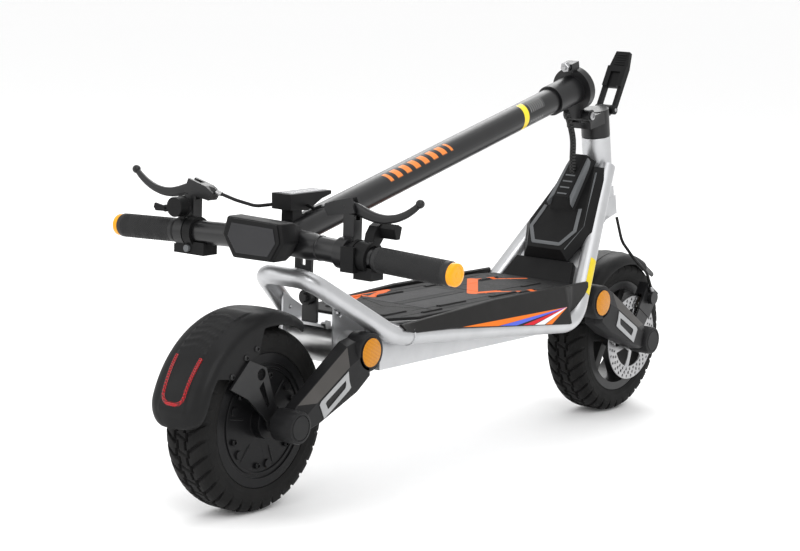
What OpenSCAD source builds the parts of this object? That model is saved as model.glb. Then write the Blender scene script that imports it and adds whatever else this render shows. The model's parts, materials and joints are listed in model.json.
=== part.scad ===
// Folding electric kick scooter, folded flat with the bar over the rear loop.
// X points forward, Y to the rider's left, Z up; the origin is on the ground under the middle of the box.

/* [Overall] */
// Distance between the wheel axles
wheelbase = 900; // [860:5:1080]
// Outer radius of both tyres
wheel_r = 127.5; // [112:0.5:140]
// Width over the ends of the handlebar
bar_w = 603; // [560:1:740]

/* [Wheels] */
// Width of both tyres
tyre_w = 70; // [60:1:84]
// Radius of the rim flanges
rim_r = 92; // [84:1:98]
// Half width over the rim flanges
rim_half = 31.5; // [26:0.5:36]
// Radius of the wheel axles
axle_r = 7; // [6:0.5:8.4]
// Radius of the brake disc
disc_r = 70; // [60:1:80]
// Thickness of the brake disc
disc_t = 2; // [1.6:0.1:2.4]
// Distance of the brake disc from the middle plane
disc_y = 54.5; // [52:0.5:56]
// Number of spokes in the front rim
spoke_count = 6; // [5:1:8]
// Number of screws in the motor cover
cover_screws = 6; // [5:1:8]

/* [Suspension] */
// Horizontal reach of a swing arm from pivot to axle
arm_run = 153; // [146:1:184]
// Height of a swing arm pivot above its axle
arm_rise = 81; // [72:1:97]
// Distance of the arms' inner faces from the middle plane
arm_in = 64; // [63:0.5:68]
// Thickness of a swing arm
arm_t = 28; // [24:1:34]
// Radius of the round head of a swing arm
head_r = 28; // [26:0.5:28.5]
// Radius of the boss round the axle end
boss_r = 23; // [20:1:26]
// Radius of the torsion drums
drum_r = 25; // [22:1:28]
// Radius of the suspension pivot shafts
pivot_r = 9; // [8:0.5:11]
// Radius of the side reflectors
reflector_r = 21; // [17:0.5:23]

/* [Frame] */
// Radius of the frame tubes
tube_r = 13.5; // [11:0.5:15]
// Distance of the rails from the middle plane at the back
rail_y = 90; // [86:1:96]
// Distance of the rails from the middle plane at the front
rail_front_y = 98; // [96:1:104]
// Height of the rails at the back bend
rail_rear_z = 225; // [215:1:235]
// Height of the rails at the front bend
rail_front_z = 187; // [180:1:200]
// Height of the rear loop's nose
nose_z = 314; // [300:1:318]
// Distance of the two rear gusset plates from the middle plane
gusset_y = 46; // [42:1:50]
// Height of the tray's underside
tray_z = 175; // [160:1:180]
// Wall of the battery tray
tray_wall = 2.5; // [2:0.5:4]
// Height of the deck plate's top
deck_z = 241; // [238:1:246]
// Thickness of the deck plate
deck_t = 3; // [2:0.5:5]
// Thickness of the rubber deck mat
mat_t = 4; // [3:0.5:6]

/* [Steering] */
// Lean of the steering axis from the vertical
head_tilt = 10.3; // [8:0.1:14]
// Length of the head tube
head_len = 80; // [70:1:100]
// Outer radius of the head tube
head_tube_r = 23.5; // [22:0.5:26]
// Radius of the steerer
steerer_r = 15; // [13:0.5:16]
// Distance of the fold pivot behind the steering axis
hinge_off = 46; // [44:1:52]
// Radius of the fold pin
fold_pin_r = 5; // [4:0.5:6]
// Radius of the round hinge flange
flange_r = 36; // [32:1:38]

/* [Stem and bar] */
// Radius of the stem tube
stem_r = 20; // [17:0.5:23]
// Wall of the stem tube
stem_wall = 2.5; // [2:0.5:4]
// Radius of the bar between the controls
bar_r = 16.5; // [14:0.5:18]
// Radius of the bar under the grips
bar_end_r = 11; // [10:0.5:12]
// Drop of the bar ends below the bar's middle when folded
bar_drop = 12; // [6:1:16]
// Radius of the grips
grip_r = 17; // [15:0.5:19]

/* [Clearances] */
// Gap between pieces that turn on each other
run_gap = 0.05; // [0.04:0.01:0.1]
// Gap between pieces of different bodies
body_gap = 0.5; // [0.3:0.1:1]

/* [Hidden] */
$fn = 48;

// Fenders
rear_fender_r = 151;
front_fender_r = 139;
fender_t = 2.5;
fender_half = 47;
front_fender_half = 44;
fender_tip_x = 137;
// Middle of the wheelbase, placed so that the whole box is centred
shift = (rear_fender_r - fender_tip_x) / 2;
rear_x = shift - wheelbase / 2;
front_x = shift + wheelbase / 2;
pivot_z = wheel_r + arm_rise;
rear_pivot_x = rear_x + arm_run;
front_pivot_x = front_x - arm_run;
arm_out = arm_in + arm_t;

// Frame tube corners on the right-hand side
loop_high = [rear_x + 75, -41, nose_z - 2];
loop_nose = [rear_x + 72, 0, nose_z];
rail_join = [rear_x + 236, -rail_y - 0.6, rail_rear_z - 3];
rail_foot = [front_x - 242, -rail_front_y, rail_front_z];
neck_end = [front_x - 53, -25, 414];
function left(p) = [p[0], -p[1], p[2]];
function unit(v) = v / norm(v);
function rail_at(t) = rail_join + (rail_foot - rail_join) * t;
loop_low = rail_at(-0.073);
neck_dir = unit(neck_end - rail_foot);
neck_slope = atan2(neck_dir[2], neck_dir[0]);

// Steering axis: its lowest point is the bottom of the head tube
head_foot = [front_x - 37.7, 0, 384];
hinge_s = head_len + 46;
function head_pt(f, s) = head_foot
    + f * [cos(head_tilt), 0, sin(head_tilt)] + s * [-sin(head_tilt), 0, cos(head_tilt)];
hinge_pt = head_pt(-hinge_off, hinge_s);
// Bar above the nose of the rear loop
bar_pt = [loop_nose[0] - 12.5, 0, nose_z + 50];
bar_reach = norm(hinge_pt - bar_pt);
fold_slope = atan2(hinge_pt[2] - bar_pt[2], hinge_pt[0] - bar_pt[0]) + asin(hinge_off / bar_reach);
stem_len = sqrt(bar_reach * bar_reach - hinge_off * hinge_off);
// Angle from the folded stem to the upright stem
fold_angle = 90 + fold_slope - head_tilt;
echo(rear_x = rear_x, front_x = front_x, pivot_z = pivot_z);
echo(hinge_pt = hinge_pt, head_foot = head_foot, bar_pt = bar_pt);
echo(fold_slope = fold_slope, stem_len = stem_len, fold_angle = fold_angle);

// Bar height at a distance y from the middle plane
function bar_z(y) = bar_pt[2] - bar_drop * abs(y) / (bar_w / 2);
lever_pt = head_pt(34, hinge_s - 9);
stand_pt = [rear_x + 395, rail_y + 22, tray_z + 4];

module at_head() {
    translate(head_foot) rotate([0, -head_tilt, 0]) children();
}

module at_fold() {
    translate(hinge_pt) rotate([0, -fold_slope, 0]) children();
}

module both() {
    children();
    mirror([0, 1, 0]) children();
}

// Cylinder along Y between two distances from the middle plane
module bar_y(y0, y1, r) {
    translate([0, y0, 0]) rotate([-90, 0, 0]) cylinder(h = y1 - y0, r = r);
}

// Outline in the X-Z plane, thick along Y from y0 to y1
module slab_y(y0, y1) {
    translate([0, y1, 0]) rotate([90, 0, 0]) linear_extrude(y1 - y0) children();
}

// Cylinder between two points
module rod(a, b, r) {
    v = b - a;
    translate(a)
        rotate([0, acos(v[2] / norm(v)), atan2(v[1], v[0])])
            cylinder(h = norm(v), r = r);
}

// Box between two corners
module block(a, b) {
    translate(a) cube(b - a);
}

// Corner b of the path a-b-c, rounded to radius r in n steps
function corner(a, b, c, r, n) =
    let (u = unit(a - b), v = unit(c - b), half = acos(u * v) / 2, w = 180 - 2 * half,
        o = b + unit(u + v) * r / sin(half),
        s = b + u * r / tan(half) - o, e = b + v * r / tan(half) - o)
    [for (i = [0:n]) o + (sin(w * (1 - i / n)) * s + sin(w * i / n) * e) / sin(w)];

// Path through the points p with every inner corner rounded to the radius in r
function rounded(p, r, n) = concat([p[0]],
    [for (i = [1:len(p) - 2]) each corner(p[i - 1], p[i], p[i + 1], r[i - 1], n)],
    [p[len(p) - 1]]);

function tangent(p, i) = unit(p[min(i + 1, len(p) - 1)] - p[max(i - 1, 0)]);

// Round tube of n sides swept along the points p; up is never parallel to the path
module sweep(p, r, n, up) {
    rings = [for (i = [0:len(p) - 1])
        let (t = tangent(p, i), a = unit(cross(up, t)), b = cross(t, a))
        for (k = [0:n - 1]) p[i] + r * (cos(360 * k / n) * a + sin(360 * k / n) * b)];
    last = n * (len(p) - 1);
    walls = [for (i = [0:len(p) - 2], k = [0:n - 1])
        [i * n + k, i * n + n + k, i * n + n + (k + 1) % n, i * n + (k + 1) % n]];
    polyhedron(rings, concat([[for (k = [0:n - 1]) k]], walls,
        [[for (k = [n - 1:-1:0]) last + k]]));
}

// ---------- frame ----------

loop_path = rounded([rail_join, loop_low, loop_high, left(loop_high), left(loop_low),
    left(rail_join)], [60, 30, 30, 60], 7);
rail_path = rounded([rail_join, rail_foot, neck_end], [70], 9);
loop_up = unit([nose_z - rail_rear_z, 0, 130]);

module loop_tube(extra) {
    sweep(loop_path, tube_r + extra, 20, loop_up);
}

module rail_tube() {
    sweep(rail_path, tube_r, 20, [0, 1, 0]);
}

module rear_loop() {
    color("silver") loop_tube(0);
}

// Web between the two front tubes, in the tubes' plane
web_t = 3;
module front_web() {
    translate([rail_foot[0], 0, rail_foot[2]])
        rotate([0, -neck_slope, 0])
            translate([0, 0, -web_t / 2])
                linear_extrude(web_t) polygon([[45, -73], [185, -36], [185, 36], [45, 73]]);
}

module side_rails() {
    color("silver") difference() {
        union() {
            both() rail_tube();
            front_web();
        }
        at_head() translate([0, 0, -20]) cylinder(h = head_len + 40, r = head_tube_r);
    }
}

bearing_r = 20;
bearing_h = 8;
module head_tube() {
    color("silver") at_head() difference() {
        cylinder(h = head_len, r = head_tube_r);
        translate([0, 0, -1]) cylinder(h = head_len + 2, r = bearing_r - 1.5);
        translate([0, 0, -1]) cylinder(h = bearing_h + 1, r = bearing_r);
        translate([0, 0, head_len - bearing_h]) cylinder(h = bearing_h + 1, r = bearing_r);
    }
}

module headset_bearings() {
    color("dimgray") at_head() for (s = [0, head_len - bearing_h])
        translate([0, 0, s]) difference() {
            cylinder(h = bearing_h, r = bearing_r - run_gap);
            translate([0, 0, -1]) cylinder(h = bearing_h + 2, r = steerer_r + run_gap);
        }
}

gusset_t = 3;
gusset_back = rear_pivot_x - 29;
tray_back = rear_x + 193;
tray_front = front_x - 262;
cross_z = pivot_z + 30;
module rear_gussets() {
    color("silver") difference() {
        union() {
            both() slab_y(gusset_y - gusset_t / 2, gusset_y + gusset_t / 2) polygon([
                [gusset_back, pivot_z - 24], [tray_back, pivot_z - 30],
                [tray_back, rail_rear_z + 14], [gusset_back, nose_z - 34]]);
            block([gusset_back, -gusset_y + gusset_t / 2, cross_z],
                [tray_back, gusset_y - gusset_t / 2, cross_z + 4]);
        }
        translate([rear_pivot_x, 0, pivot_z]) bar_y(-arm_in, arm_in, drum_r);
        loop_tube(0);
        for (x = [rear_pivot_x - 14, rear_pivot_x + 22])
            translate([x, 0, cross_z + 18]) bar_y(-arm_in, arm_in, 3);
    }
}

drum_half = arm_in - 2;
module drum(x) {
    translate([x, 0, pivot_z]) difference() {
        bar_y(-drum_half, drum_half, drum_r);
        bar_y(-arm_in, arm_in, pivot_r + run_gap);
    }
}

module rear_drum() {
    color("silver") difference() {
        drum(rear_pivot_x);
        block([tray_back, -arm_in, pivot_z - drum_r], [tray_back + drum_r, arm_in, pivot_z + drum_r]);
    }
}

tray_half = rail_y - tube_r - 0.6;
tray_top = deck_z - deck_t;
module battery_tray() {
    color("silver") difference() {
        block([tray_back, -tray_half, tray_z], [tray_front, tray_half, tray_top]);
        block([tray_back + tray_wall, tray_wall - tray_half, tray_z + tray_wall],
            [tray_front - tray_wall, tray_half - tray_wall, tray_top + 1]);
        loop_tube(0.3);
    }
}

module battery_pack() {
    color("royalblue") block([tray_back + 12, -62, tray_z + tray_wall],
        [tray_front - 60, 62, tray_top - 10]);
}

// Deck outline: narrow at the back, wide over the rails, narrow at the neck
deck_back = rear_x + 200;
deck_front = front_x - 218;
deck_half = rail_y + 2;
function deck_outline(m) = [[deck_back + m, -62 + m], [deck_back + 60, -deck_half + m],
    [deck_front - 40, -deck_half + m], [deck_front - m, -76 + m], [deck_front - m, 76 - m],
    [deck_front - 40, deck_half - m], [deck_back + 60, deck_half - m], [deck_back + m, 62 - m]];
module deck_plate() {
    color("darkgray") difference() {
        translate([0, 0, tray_top]) linear_extrude(deck_t) polygon(deck_outline(0));
        loop_tube(0.3);
        neck_shell(0.3);
    }
}

mat_z = deck_z + mat_t;
// Centre, length and width of the raised blocks on the mat
mat_blocks = [[-190, 50, 54, 10], [-60, 56, 62, 9], [70, 62, 60, 9], [175, 40, 50, 8]];
module deck_mat() {
    color("dimgray") difference() {
        union() {
            translate([0, 0, deck_z]) linear_extrude(mat_t) polygon(deck_outline(2));
            both() for (b = mat_blocks)
                translate([shift + b[0], b[1], mat_z + 1]) cube([b[2], b[3], 2], center = true);
        }
        loop_tube(0.6);
        neck_shell(0.3);
    }
}

// Side fairing: a wedge on each rail, from the deck edge down over the rail's outer side
fairing_back = rear_x + 222;
fairing_front = front_x - 214;
module fairing_body() {
    slab_y(-108, -deck_half) polygon([[fairing_back, rail_rear_z - 8],
        [front_x - 350, rail_front_z + 7], [fairing_front - 30, rail_front_z + 6],
        [fairing_front + 8, rail_front_z + 34], [fairing_front + 20, deck_z + 8],
        [rear_x + 440, deck_z + 11], [fairing_back - 6, deck_z - 2]]);
}

module side_fairings() {
    color("black") both() difference() {
        fairing_body();
        rail_tube();
        loop_tube(0.3);
        multmatrix([[1, 0, 0, 0], [0, 1, -0.28, -28], [0, 0, 1, 0]])
            block([fairing_back - 30, -120, rail_front_z - 30], [fairing_front + 60, -13, deck_z + 40]);
    }
}

// Frame of the front tubes' plane: x runs up along the tubes, z stands off towards the rider
module at_neck() {
    translate([rail_foot[0], 0, rail_foot[2]]) rotate([0, -neck_slope, 0]) children();
}

panel_rise = tube_r - 2;
module neck_shell(extra) {
    at_neck() translate([0, 0, web_t / 2 + 0.2]) linear_extrude(panel_rise + extra)
        polygon([[46, -70 - extra], [101, -54 - extra], [101, 54 + extra], [46, 70 + extra]]);
}

module neck_panel() {
    color("dimgray") difference() {
        neck_shell(0);
        both() rail_tube();
    }
}

cover_low = tube_r - 3;
cover_top = cover_low + 17;
block_top = cover_top + 18;
module cover_skin() {
    hull() {
        at_neck() translate([0, 0, cover_low]) linear_extrude(1) polygon([[102, -42], [160, -64],
            [262, -40], [285, -32], [285, 32], [262, 40], [160, 64], [102, 42]]);
        at_neck() translate([0, 0, cover_top - 1]) linear_extrude(1) polygon([[112, -32], [162, -50],
            [276, -22], [276, 22], [162, 50], [112, 32]]);
    }
}

module cover_block() {
    hull() {
        at_neck() translate([0, 0, cover_top - 2]) linear_extrude(1)
            polygon([[186, -24], [286, -20], [286, 20], [186, 24]]);
        at_neck() translate([0, 0, block_top]) linear_extrude(1)
            polygon([[200, -13], [284, -12], [284, 12], [200, 13]]);
    }
}

module controller_cover() {
    color("black") difference() {
        union() {
            cover_skin();
            cover_block();
        }
        at_neck() translate([118, -30, cover_low - 1]) cube([130, 60, 13]);
        both() rail_tube();
        at_head() translate([0, 0, -60]) cylinder(h = head_len + 120, r = head_tube_r + 2);
        sleeve_hole();
    }
}

module motor_controller() {
    color("silver") at_neck() block([122, -26, web_t / 2], [182, 26, cover_low + 10]);
}

// Braided sleeve from the hinge down into the cover
sleeve_r = 5;
sleeve_path = rounded([head_pt(-82.6, 140), head_pt(-72.8, 116), head_pt(-66.4, 89),
    head_pt(-71.6, 61), head_pt(-73.3, 35)], [50, 60, 60], 4);
module sleeve_hole() {
    sweep(sleeve_path, sleeve_r + 0.4, 12, [0, 1, 0]);
}

module cable_sleeve() {
    color("black") sweep(sleeve_path, sleeve_r, 12, [0, 1, 0]);
}

// Keeper on the cross plate: the stop that the stem's hook plate comes down to
keeper_x = gusset_back + 8;
module latch_keeper() {
    color("black") {
        block([keeper_x - 5, -13, cross_z + 4], [keeper_x, 13, nose_z - 17]);
        translate([keeper_x - 5, 0, nose_z - 36]) rotate([0, -90, 0]) cylinder(h = 10, r = 11);
        translate([keeper_x - 15, 0, nose_z - 36]) rotate([0, -90, 0]) cylinder(h = 5, r = 7, $fn = 6);
    }
}

stand_r = 7;
stand_pin_r = 4;
stand_len = stand_pt[2] - 12;
module stand_bracket() {
    color("dimgray") difference() {
        union() {
            block([stand_pt[0] - 12, tray_half, stand_pt[2] - 3], [stand_pt[0] + 12, stand_pt[1] - 9, stand_pt[2] + 3]);
            translate(stand_pt) bar_y(-16, -stand_r - body_gap, 12);
            translate(stand_pt) bar_y(-20, stand_r + 4, stand_pin_r);
        }
        both() rail_tube();
    }
}

module kickstand() {
    color("dimgray") translate(stand_pt) difference() {
        union() {
            bar_y(-stand_r, stand_r, 11);
            rod([-6, 0, 0], [-stand_len, 14, 3], stand_r);
            translate([-stand_len, 14, 3]) sphere(r = 10);
        }
        bar_y(-30, 30, stand_pin_r + run_gap);
    }
}

// ---------- steering ----------

crown_gap = 4;
fork_half = 25;
module fork() {
    color("silver") {
        difference() {
            union() {
                at_head() translate([0, 0, -20]) cylinder(h = head_len + 48, r = steerer_r);
                at_head() translate([0, 0, -52]) cylinder(h = 52 - crown_gap, r = head_tube_r + 1.5);
                slab_y(-fork_half, fork_half) polygon([
                    [front_x - 50, 360], [front_x - 22, 366], [front_x - 15, 335], [front_x - 48, 326],
                    [front_x - 86, 292], [front_pivot_x + 20, pivot_z + 8],
                    [front_pivot_x - 12, pivot_z + 20], [front_x - 128, 306], [front_x - 84, 342]]);
                translate([front_pivot_x, 0, pivot_z]) bar_y(-drum_half, drum_half, drum_r);
            }
            translate([front_pivot_x, 0, pivot_z]) bar_y(-arm_in, arm_in, pivot_r + run_gap);
        }
    }
}

knuckle_r = 10;
lug_half = 11;
ear_half = 24;
base_bottom = head_len + 1;
// Black casting on the steerer: collar, ears for the fold pin and lugs for the lever
module hinge_base() {
    color("black") difference() {
        union() {
            at_head() translate([0, 0, base_bottom]) cylinder(h = hinge_s - base_bottom - 0.7, r = head_tube_r);
            at_head() block([-hinge_off - 3, 1 - ear_half, hinge_s - 22], [-6, ear_half - 1, hinge_s - 2]);
            translate(hinge_pt) bar_y(-ear_half, ear_half, knuckle_r);
            at_head() block([6, 0.6 - lug_half, hinge_s - 18], [32, lug_half - 0.6, hinge_s - 3]);
            translate(lever_pt) bar_y(-lug_half, lug_half, 8);
        }
        at_head() translate([0, 0, base_bottom - 1]) cylinder(h = 28, r = steerer_r + run_gap);
        translate(hinge_pt) bar_y(-40, 40, fold_pin_r + run_gap);
        at_head() block([-hinge_off - 30, -lug_half - body_gap, hinge_s - 12.3], [-hinge_off + 17, lug_half + body_gap, hinge_s + 20]);
        translate(lever_pt) bar_y(-40, 40, 3 + run_gap);
    }
}

module hinge_pin() {
    color("silver") {
        translate(hinge_pt) bar_y(-ear_half - 2, ear_half + 2, fold_pin_r);
        translate(lever_pt) bar_y(-20, 20, 3);
    }
}

lever_lean = 38;
// Clamp lever: a cam end between the lugs, two cheeks and a broad thumb pad
module fold_lever() {
    color("black") translate(lever_pt) difference() {
        rotate([0, lever_lean - head_tilt, 0]) {
            both() bar_y(lug_half + body_gap, 18, 7.5);
            both() block([-4, lug_half + body_gap, 0], [5, 18, 42]);
            block([-7, -18, 40], [5, 18, 76]);
            slab_x(-3, 5) polygon([[-18, 75], [-13, 104], [13, 104], [18, 75]]);
        }
        bar_y(-30, 30, 3 + run_gap);
        rotate([0, lever_lean - head_tilt, 0]) block([-12, -9, 30], [-2, 9, 66]);
    }
}

// ---------- swing arms ----------

// Arm seen from the side with the pivot at the origin and the axle towards -X
function arm_outline() = [[3, head_r - 2], [-24, head_r - 1], [-arm_run + 6, 26 - arm_rise],
    [-arm_run - boss_r + 4, -arm_rise + 2], [-arm_run, -arm_rise - boss_r + 2],
    [-arm_run + 46, -arm_rise - 8], [-26, -58], [2, -41], [22, -22]];
function arm_face() = [[0, head_r - 9], [-40, 6], [-arm_run + 14, 22 - arm_rise - 8],
    [-arm_run, -arm_rise + 4], [-arm_run + 44, -arm_rise - 4], [-26, -53], [4, -34]];

module swing_arm() {
    difference() {
        union() {
            slab_y(-arm_out + 8, -arm_in) polygon(arm_outline());
            slab_y(-arm_out, -arm_out + 8) polygon(arm_face());
            bar_y(-arm_out, -arm_in, head_r);
            translate([-arm_run, 0, -arm_rise]) bar_y(-arm_out - 6, -arm_in + 2, boss_r);
        }
        bar_y(-arm_out + 6, 0, pivot_r + run_gap);
        bar_y(-arm_out - 1, -arm_out + 3, reflector_r + run_gap);
        translate([-arm_run, 0, -arm_rise]) bar_y(-arm_out + 2, 0, axle_r + run_gap);
    }
}

module rear_arms() {
    color("dimgray") both() translate([rear_pivot_x, 0, pivot_z]) swing_arm();
}

module front_arms() {
    color("dimgray") both() translate([front_pivot_x, 0, pivot_z]) mirror([1, 0, 0]) swing_arm();
}

module reflector() {
    bar_y(-arm_out - 1.5, -arm_out + 3, reflector_r);
}

module rear_reflectors() {
    color("orange") both() translate([rear_pivot_x, 0, pivot_z]) reflector();
}

module front_reflectors() {
    color("orange") both() translate([front_pivot_x, 0, pivot_z]) reflector();
}

module shafts(pivot_x, axle_x) {
    translate([pivot_x, 0, pivot_z]) bar_y(-arm_out + 7, arm_out - 7, pivot_r);
    translate([axle_x, 0, wheel_r]) bar_y(-arm_out + 3, arm_out - 3, axle_r);
}

module rear_shafts() {
    color("silver") shafts(rear_pivot_x, rear_x);
}

module front_shafts() {
    color("silver") shafts(front_pivot_x, front_x);
}

// ---------- wheels ----------

tyre_half = tyre_w / 2;
module tyre() {
    rotate([-90, 0, 0]) rotate_extrude($fn = 96) difference() {
        polygon([[rim_r - 8, -rim_half + 3], [rim_r + 0.1, -rim_half + 3], [rim_r + 0.1, -rim_half - 0.5],
            [rim_r + 13, -tyre_half + 0.5], [wheel_r - 14, -tyre_half], [wheel_r - 6, -tyre_half + 5],
            [wheel_r - 2, -tyre_half + 11], [wheel_r, -tyre_half + 17], [wheel_r, tyre_half - 17],
            [wheel_r - 2, tyre_half - 11], [wheel_r - 6, tyre_half - 5], [wheel_r - 14, tyre_half],
            [rim_r + 13, tyre_half - 0.5], [rim_r + 0.1, rim_half + 0.5], [rim_r + 0.1, rim_half - 3],
            [rim_r - 8, rim_half - 3]]);
        polygon([[rim_r - 9, -rim_half + 9], [rim_r + 4, -rim_half + 5],
            [rim_r + 14, -tyre_half + 7], [wheel_r - 15, -tyre_half + 8], [wheel_r - 8, 0],
            [wheel_r - 15, tyre_half - 8], [rim_r + 14, tyre_half - 7],
            [rim_r + 4, rim_half - 5], [rim_r - 9, rim_half - 9]]);
    }
}

module rear_tyre() {
    color("black") translate([rear_x, 0, wheel_r]) tyre();
}

module front_tyre() {
    color("black") translate([front_x, 0, wheel_r]) tyre();
}

bearing_out = axle_r + 8;
hub_right = disc_t / 2 - disc_y;
hub_left = 44;
// Rim barrel that the tyre's beads sit on
module rim_ring() {
    difference() {
        union() {
            bar_y(-rim_half + 3, rim_half - 3, rim_r - 8);
            for (s = [-1, 1]) bar_y(s * rim_half - (s > 0 ? 3 : 0), s * rim_half + (s > 0 ? 0 : 3), rim_r);
        }
        bar_y(-tyre_w, tyre_w, rim_r - 13);
    }
}

module front_rim() {
    color("black") translate([front_x, 0, wheel_r]) difference() {
        union() {
            rim_ring();
            bar_y(hub_right, hub_left, bearing_out + 6);
            for (k = [0:spoke_count - 1]) rotate([0, k * 360 / spoke_count, 0])
                block([bearing_out, -9, -8], [rim_r - 10, 9, 8]);
        }
        bar_y(-60, 60, bearing_out - 3);
        bar_y(hub_right - 1, hub_right + 9, bearing_out);
        bar_y(hub_left - 9, hub_left + 1, bearing_out);
    }
}

module front_bearings() {
    color("silver") translate([front_x, 0, wheel_r]) for (y = [hub_right, hub_left - 9]) difference() {
        bar_y(y, y + 9, bearing_out - run_gap);
        bar_y(y - 1, y + 10, axle_r + run_gap);
    }
}

disc_windows = 5;
disc_holes = 24;
module brake_disc() {
    color("silver") translate([front_x, -disc_y, wheel_r]) difference() {
        bar_y(-disc_t / 2, disc_t / 2, disc_r);
        bar_y(-5, 5, bearing_out - 3);
        for (k = [0:disc_windows - 1]) rotate([0, k * 360 / disc_windows + 10, 0])
            slab_y(-5, 5) polygon([[disc_r - 36, -8], [disc_r - 21, -22], [disc_r - 17, -10],
                [disc_r - 17, 10], [disc_r - 21, 22], [disc_r - 36, 8]]);
        for (k = [0:disc_holes - 1]) rotate([0, k * 360 / disc_holes, 0])
            translate([disc_r - (k % 2 == 0 ? 5 : 10), 0, 0]) bar_y(-5, 5, 2.2, $fn = 16);
    }
}

hub_r = rim_r - 13;
module hub_motor() {
    color("black") translate([rear_x, 0, wheel_r]) difference() {
        union() {
            rim_ring();
            bar_y(-rim_half + 2, rim_half - 2, hub_r + 2);
            bar_y(-44, 44, 24);
            for (s = [-1, 1], k = [0:cover_screws - 1]) rotate([0, k * 360 / cover_screws + 20, 0])
                translate([hub_r - 17, s * (rim_half - 2), 0]) bar_y(-3, 3, 6);
        }
        bar_y(-rim_half + 8, rim_half - 8, hub_r - 6);
        bar_y(-50, 50, axle_r + run_gap);
    }
}

module motor_stator() {
    color("peru") translate([rear_x, 0, wheel_r]) difference() {
        bar_y(-rim_half + 10, rim_half - 10, hub_r - 9);
        bar_y(-50, 50, axle_r + run_gap);
    }
}

// ---------- fenders and brake ----------

// Fender shell about the wheel axis, from angle a0 to a1 above +X
module fender_shell(r, half, lip, a0, a1) {
    rotate([90, 0, 0]) rotate([0, 0, a0]) rotate_extrude(angle = a1 - a0, $fn = 96) difference() {
        polygon([[r - lip, -half], [r - 12, -half], [r - 3, -half + 12], [r, -half + 24],
            [r, half - 24], [r - 3, half - 12], [r - 12, half], [r - lip, half]]);
        polygon([[r - lip - 1, -half + fender_t], [r - 13, -half + fender_t],
            [r - 3 - fender_t, -half + 14], [r - fender_t, -half + 25], [r - fender_t, half - 25],
            [r - 3 - fender_t, half - 14], [r - 13, half - fender_t], [r - lip - 1, half - fender_t]]);
    }
}

module rear_fender() {
    color("black") translate([rear_x, 0, wheel_r]) {
        fender_shell(rear_fender_r, fender_half, 15, 60, 102);
        fender_shell(rear_fender_r, fender_half, 50, 102, 142);
        fender_shell(rear_fender_r, fender_half, 15, 142, 181);
    }
}

lamp_half = 25;
module tail_light() {
    color("red") translate([rear_x, 0, wheel_r]) rotate([90, 0, 0]) {
        difference() {
            rotate([0, 0, 141]) rotate_extrude(angle = 26, $fn = 96)
                translate([rear_fender_r + 0.1, -lamp_half]) square([2, 2 * lamp_half]);
            rotate([0, 0, 138]) rotate_extrude(angle = 25, $fn = 96)
                translate([rear_fender_r - 2, 7 - lamp_half]) square([6, 2 * lamp_half - 14]);
        }
    }
}

stay_y = fender_half;
module fender_stays() {
    color("black") both() translate([rear_x, 0, wheel_r]) difference() {
        union() {
            slab_y(-stay_y - 4, -stay_y) polygon([[-52, 92], [-88, 58], [-54, 40], [-14, 4],
                [-8, -11], [11, -8], [8, 10], [-8, 50], [-18, 78]]);
            bar_y(-stay_y - 4, -stay_y, 13);
        }
        bar_y(-arm_in, 0, axle_r + run_gap);
        slab_y(-stay_y - 5, 0) polygon([[-32, 52], [-14, 22], [-10, 26], [-24, 60]]);
        translate([-28, 0, 70]) bar_y(-arm_in, 0, 8);
    }
}

module front_fender() {
    color("black") translate([front_x, 0, wheel_r]) {
        fender_shell(front_fender_r, front_fender_half, 14, 56, 142);
        hull() {
            rotate([0, -57, 0]) block([front_fender_r - 3, -34, -2], [front_fender_r, 34, 4]);
            rotate([0, -45, 0]) block([front_fender_r + 1, -22, -2], [front_fender_r + 4, 22, 2]);
            translate([fender_tip_x - 3, -5, 95]) cube([2.5, 10, 3]);
        }
        both() rotate([0, -142, 0])
            block([front_fender_r - 14, front_fender_half - 1, -16], [front_fender_r - 2, arm_in, 1]);
    }
}

// Caliper angle and distance from the axle
cal_a = 57;
cal_in = 47;
cal_out = disc_r + 24;
module brake_caliper() {
    color("black") translate([front_x, 0, wheel_r]) difference() {
        union() {
            rotate([0, -cal_a, 0]) block([cal_in, -arm_in + 1, -20], [cal_out, -disc_y + 9, 20]);
            slab_y(-arm_in + 2.1, -arm_in + 5.5) polygon([[0, -16], [18, 4], [62, 56], [34, 80], [-14, 12]]);
            rotate([0, -cal_a, 0]) translate([disc_r + 6, 0, 0]) bar_y(-arm_in - 8, -arm_in + 2, 11);
        }
        bar_y(-arm_in - 20, 0, axle_r + run_gap);
        rotate([0, -cal_a, 0]) block([0, -disc_y - 4.6, -30], [disc_r + 2, -disc_y + 4.6, 30]);
    }
}

module brake_pads() {
    color("darkgoldenrod") translate([front_x, 0, wheel_r]) rotate([0, -cal_a, 0])
        for (y = [-disc_y - 4.6, -disc_y + disc_t / 2 + 0.4])
            block([cal_in + 2, y, -14], [disc_r - 1, y + 3.2, 14]);
}

hose_r = 2.5;
hose_path = rounded([[front_x - 30, -34, 330], [front_x - 36, -50, 292], [front_x - 14, -62, 262],
    [front_x + 22, -66, 236], [front_x + 40, -67, 202.6]], [24, 40, 30], 5);
module brake_hose() {
    color("black") sweep(hose_path, hose_r, 8, [0, 1, 0.2]);
}

// ---------- stem and handlebar ----------

head_plate = 14;
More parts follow.
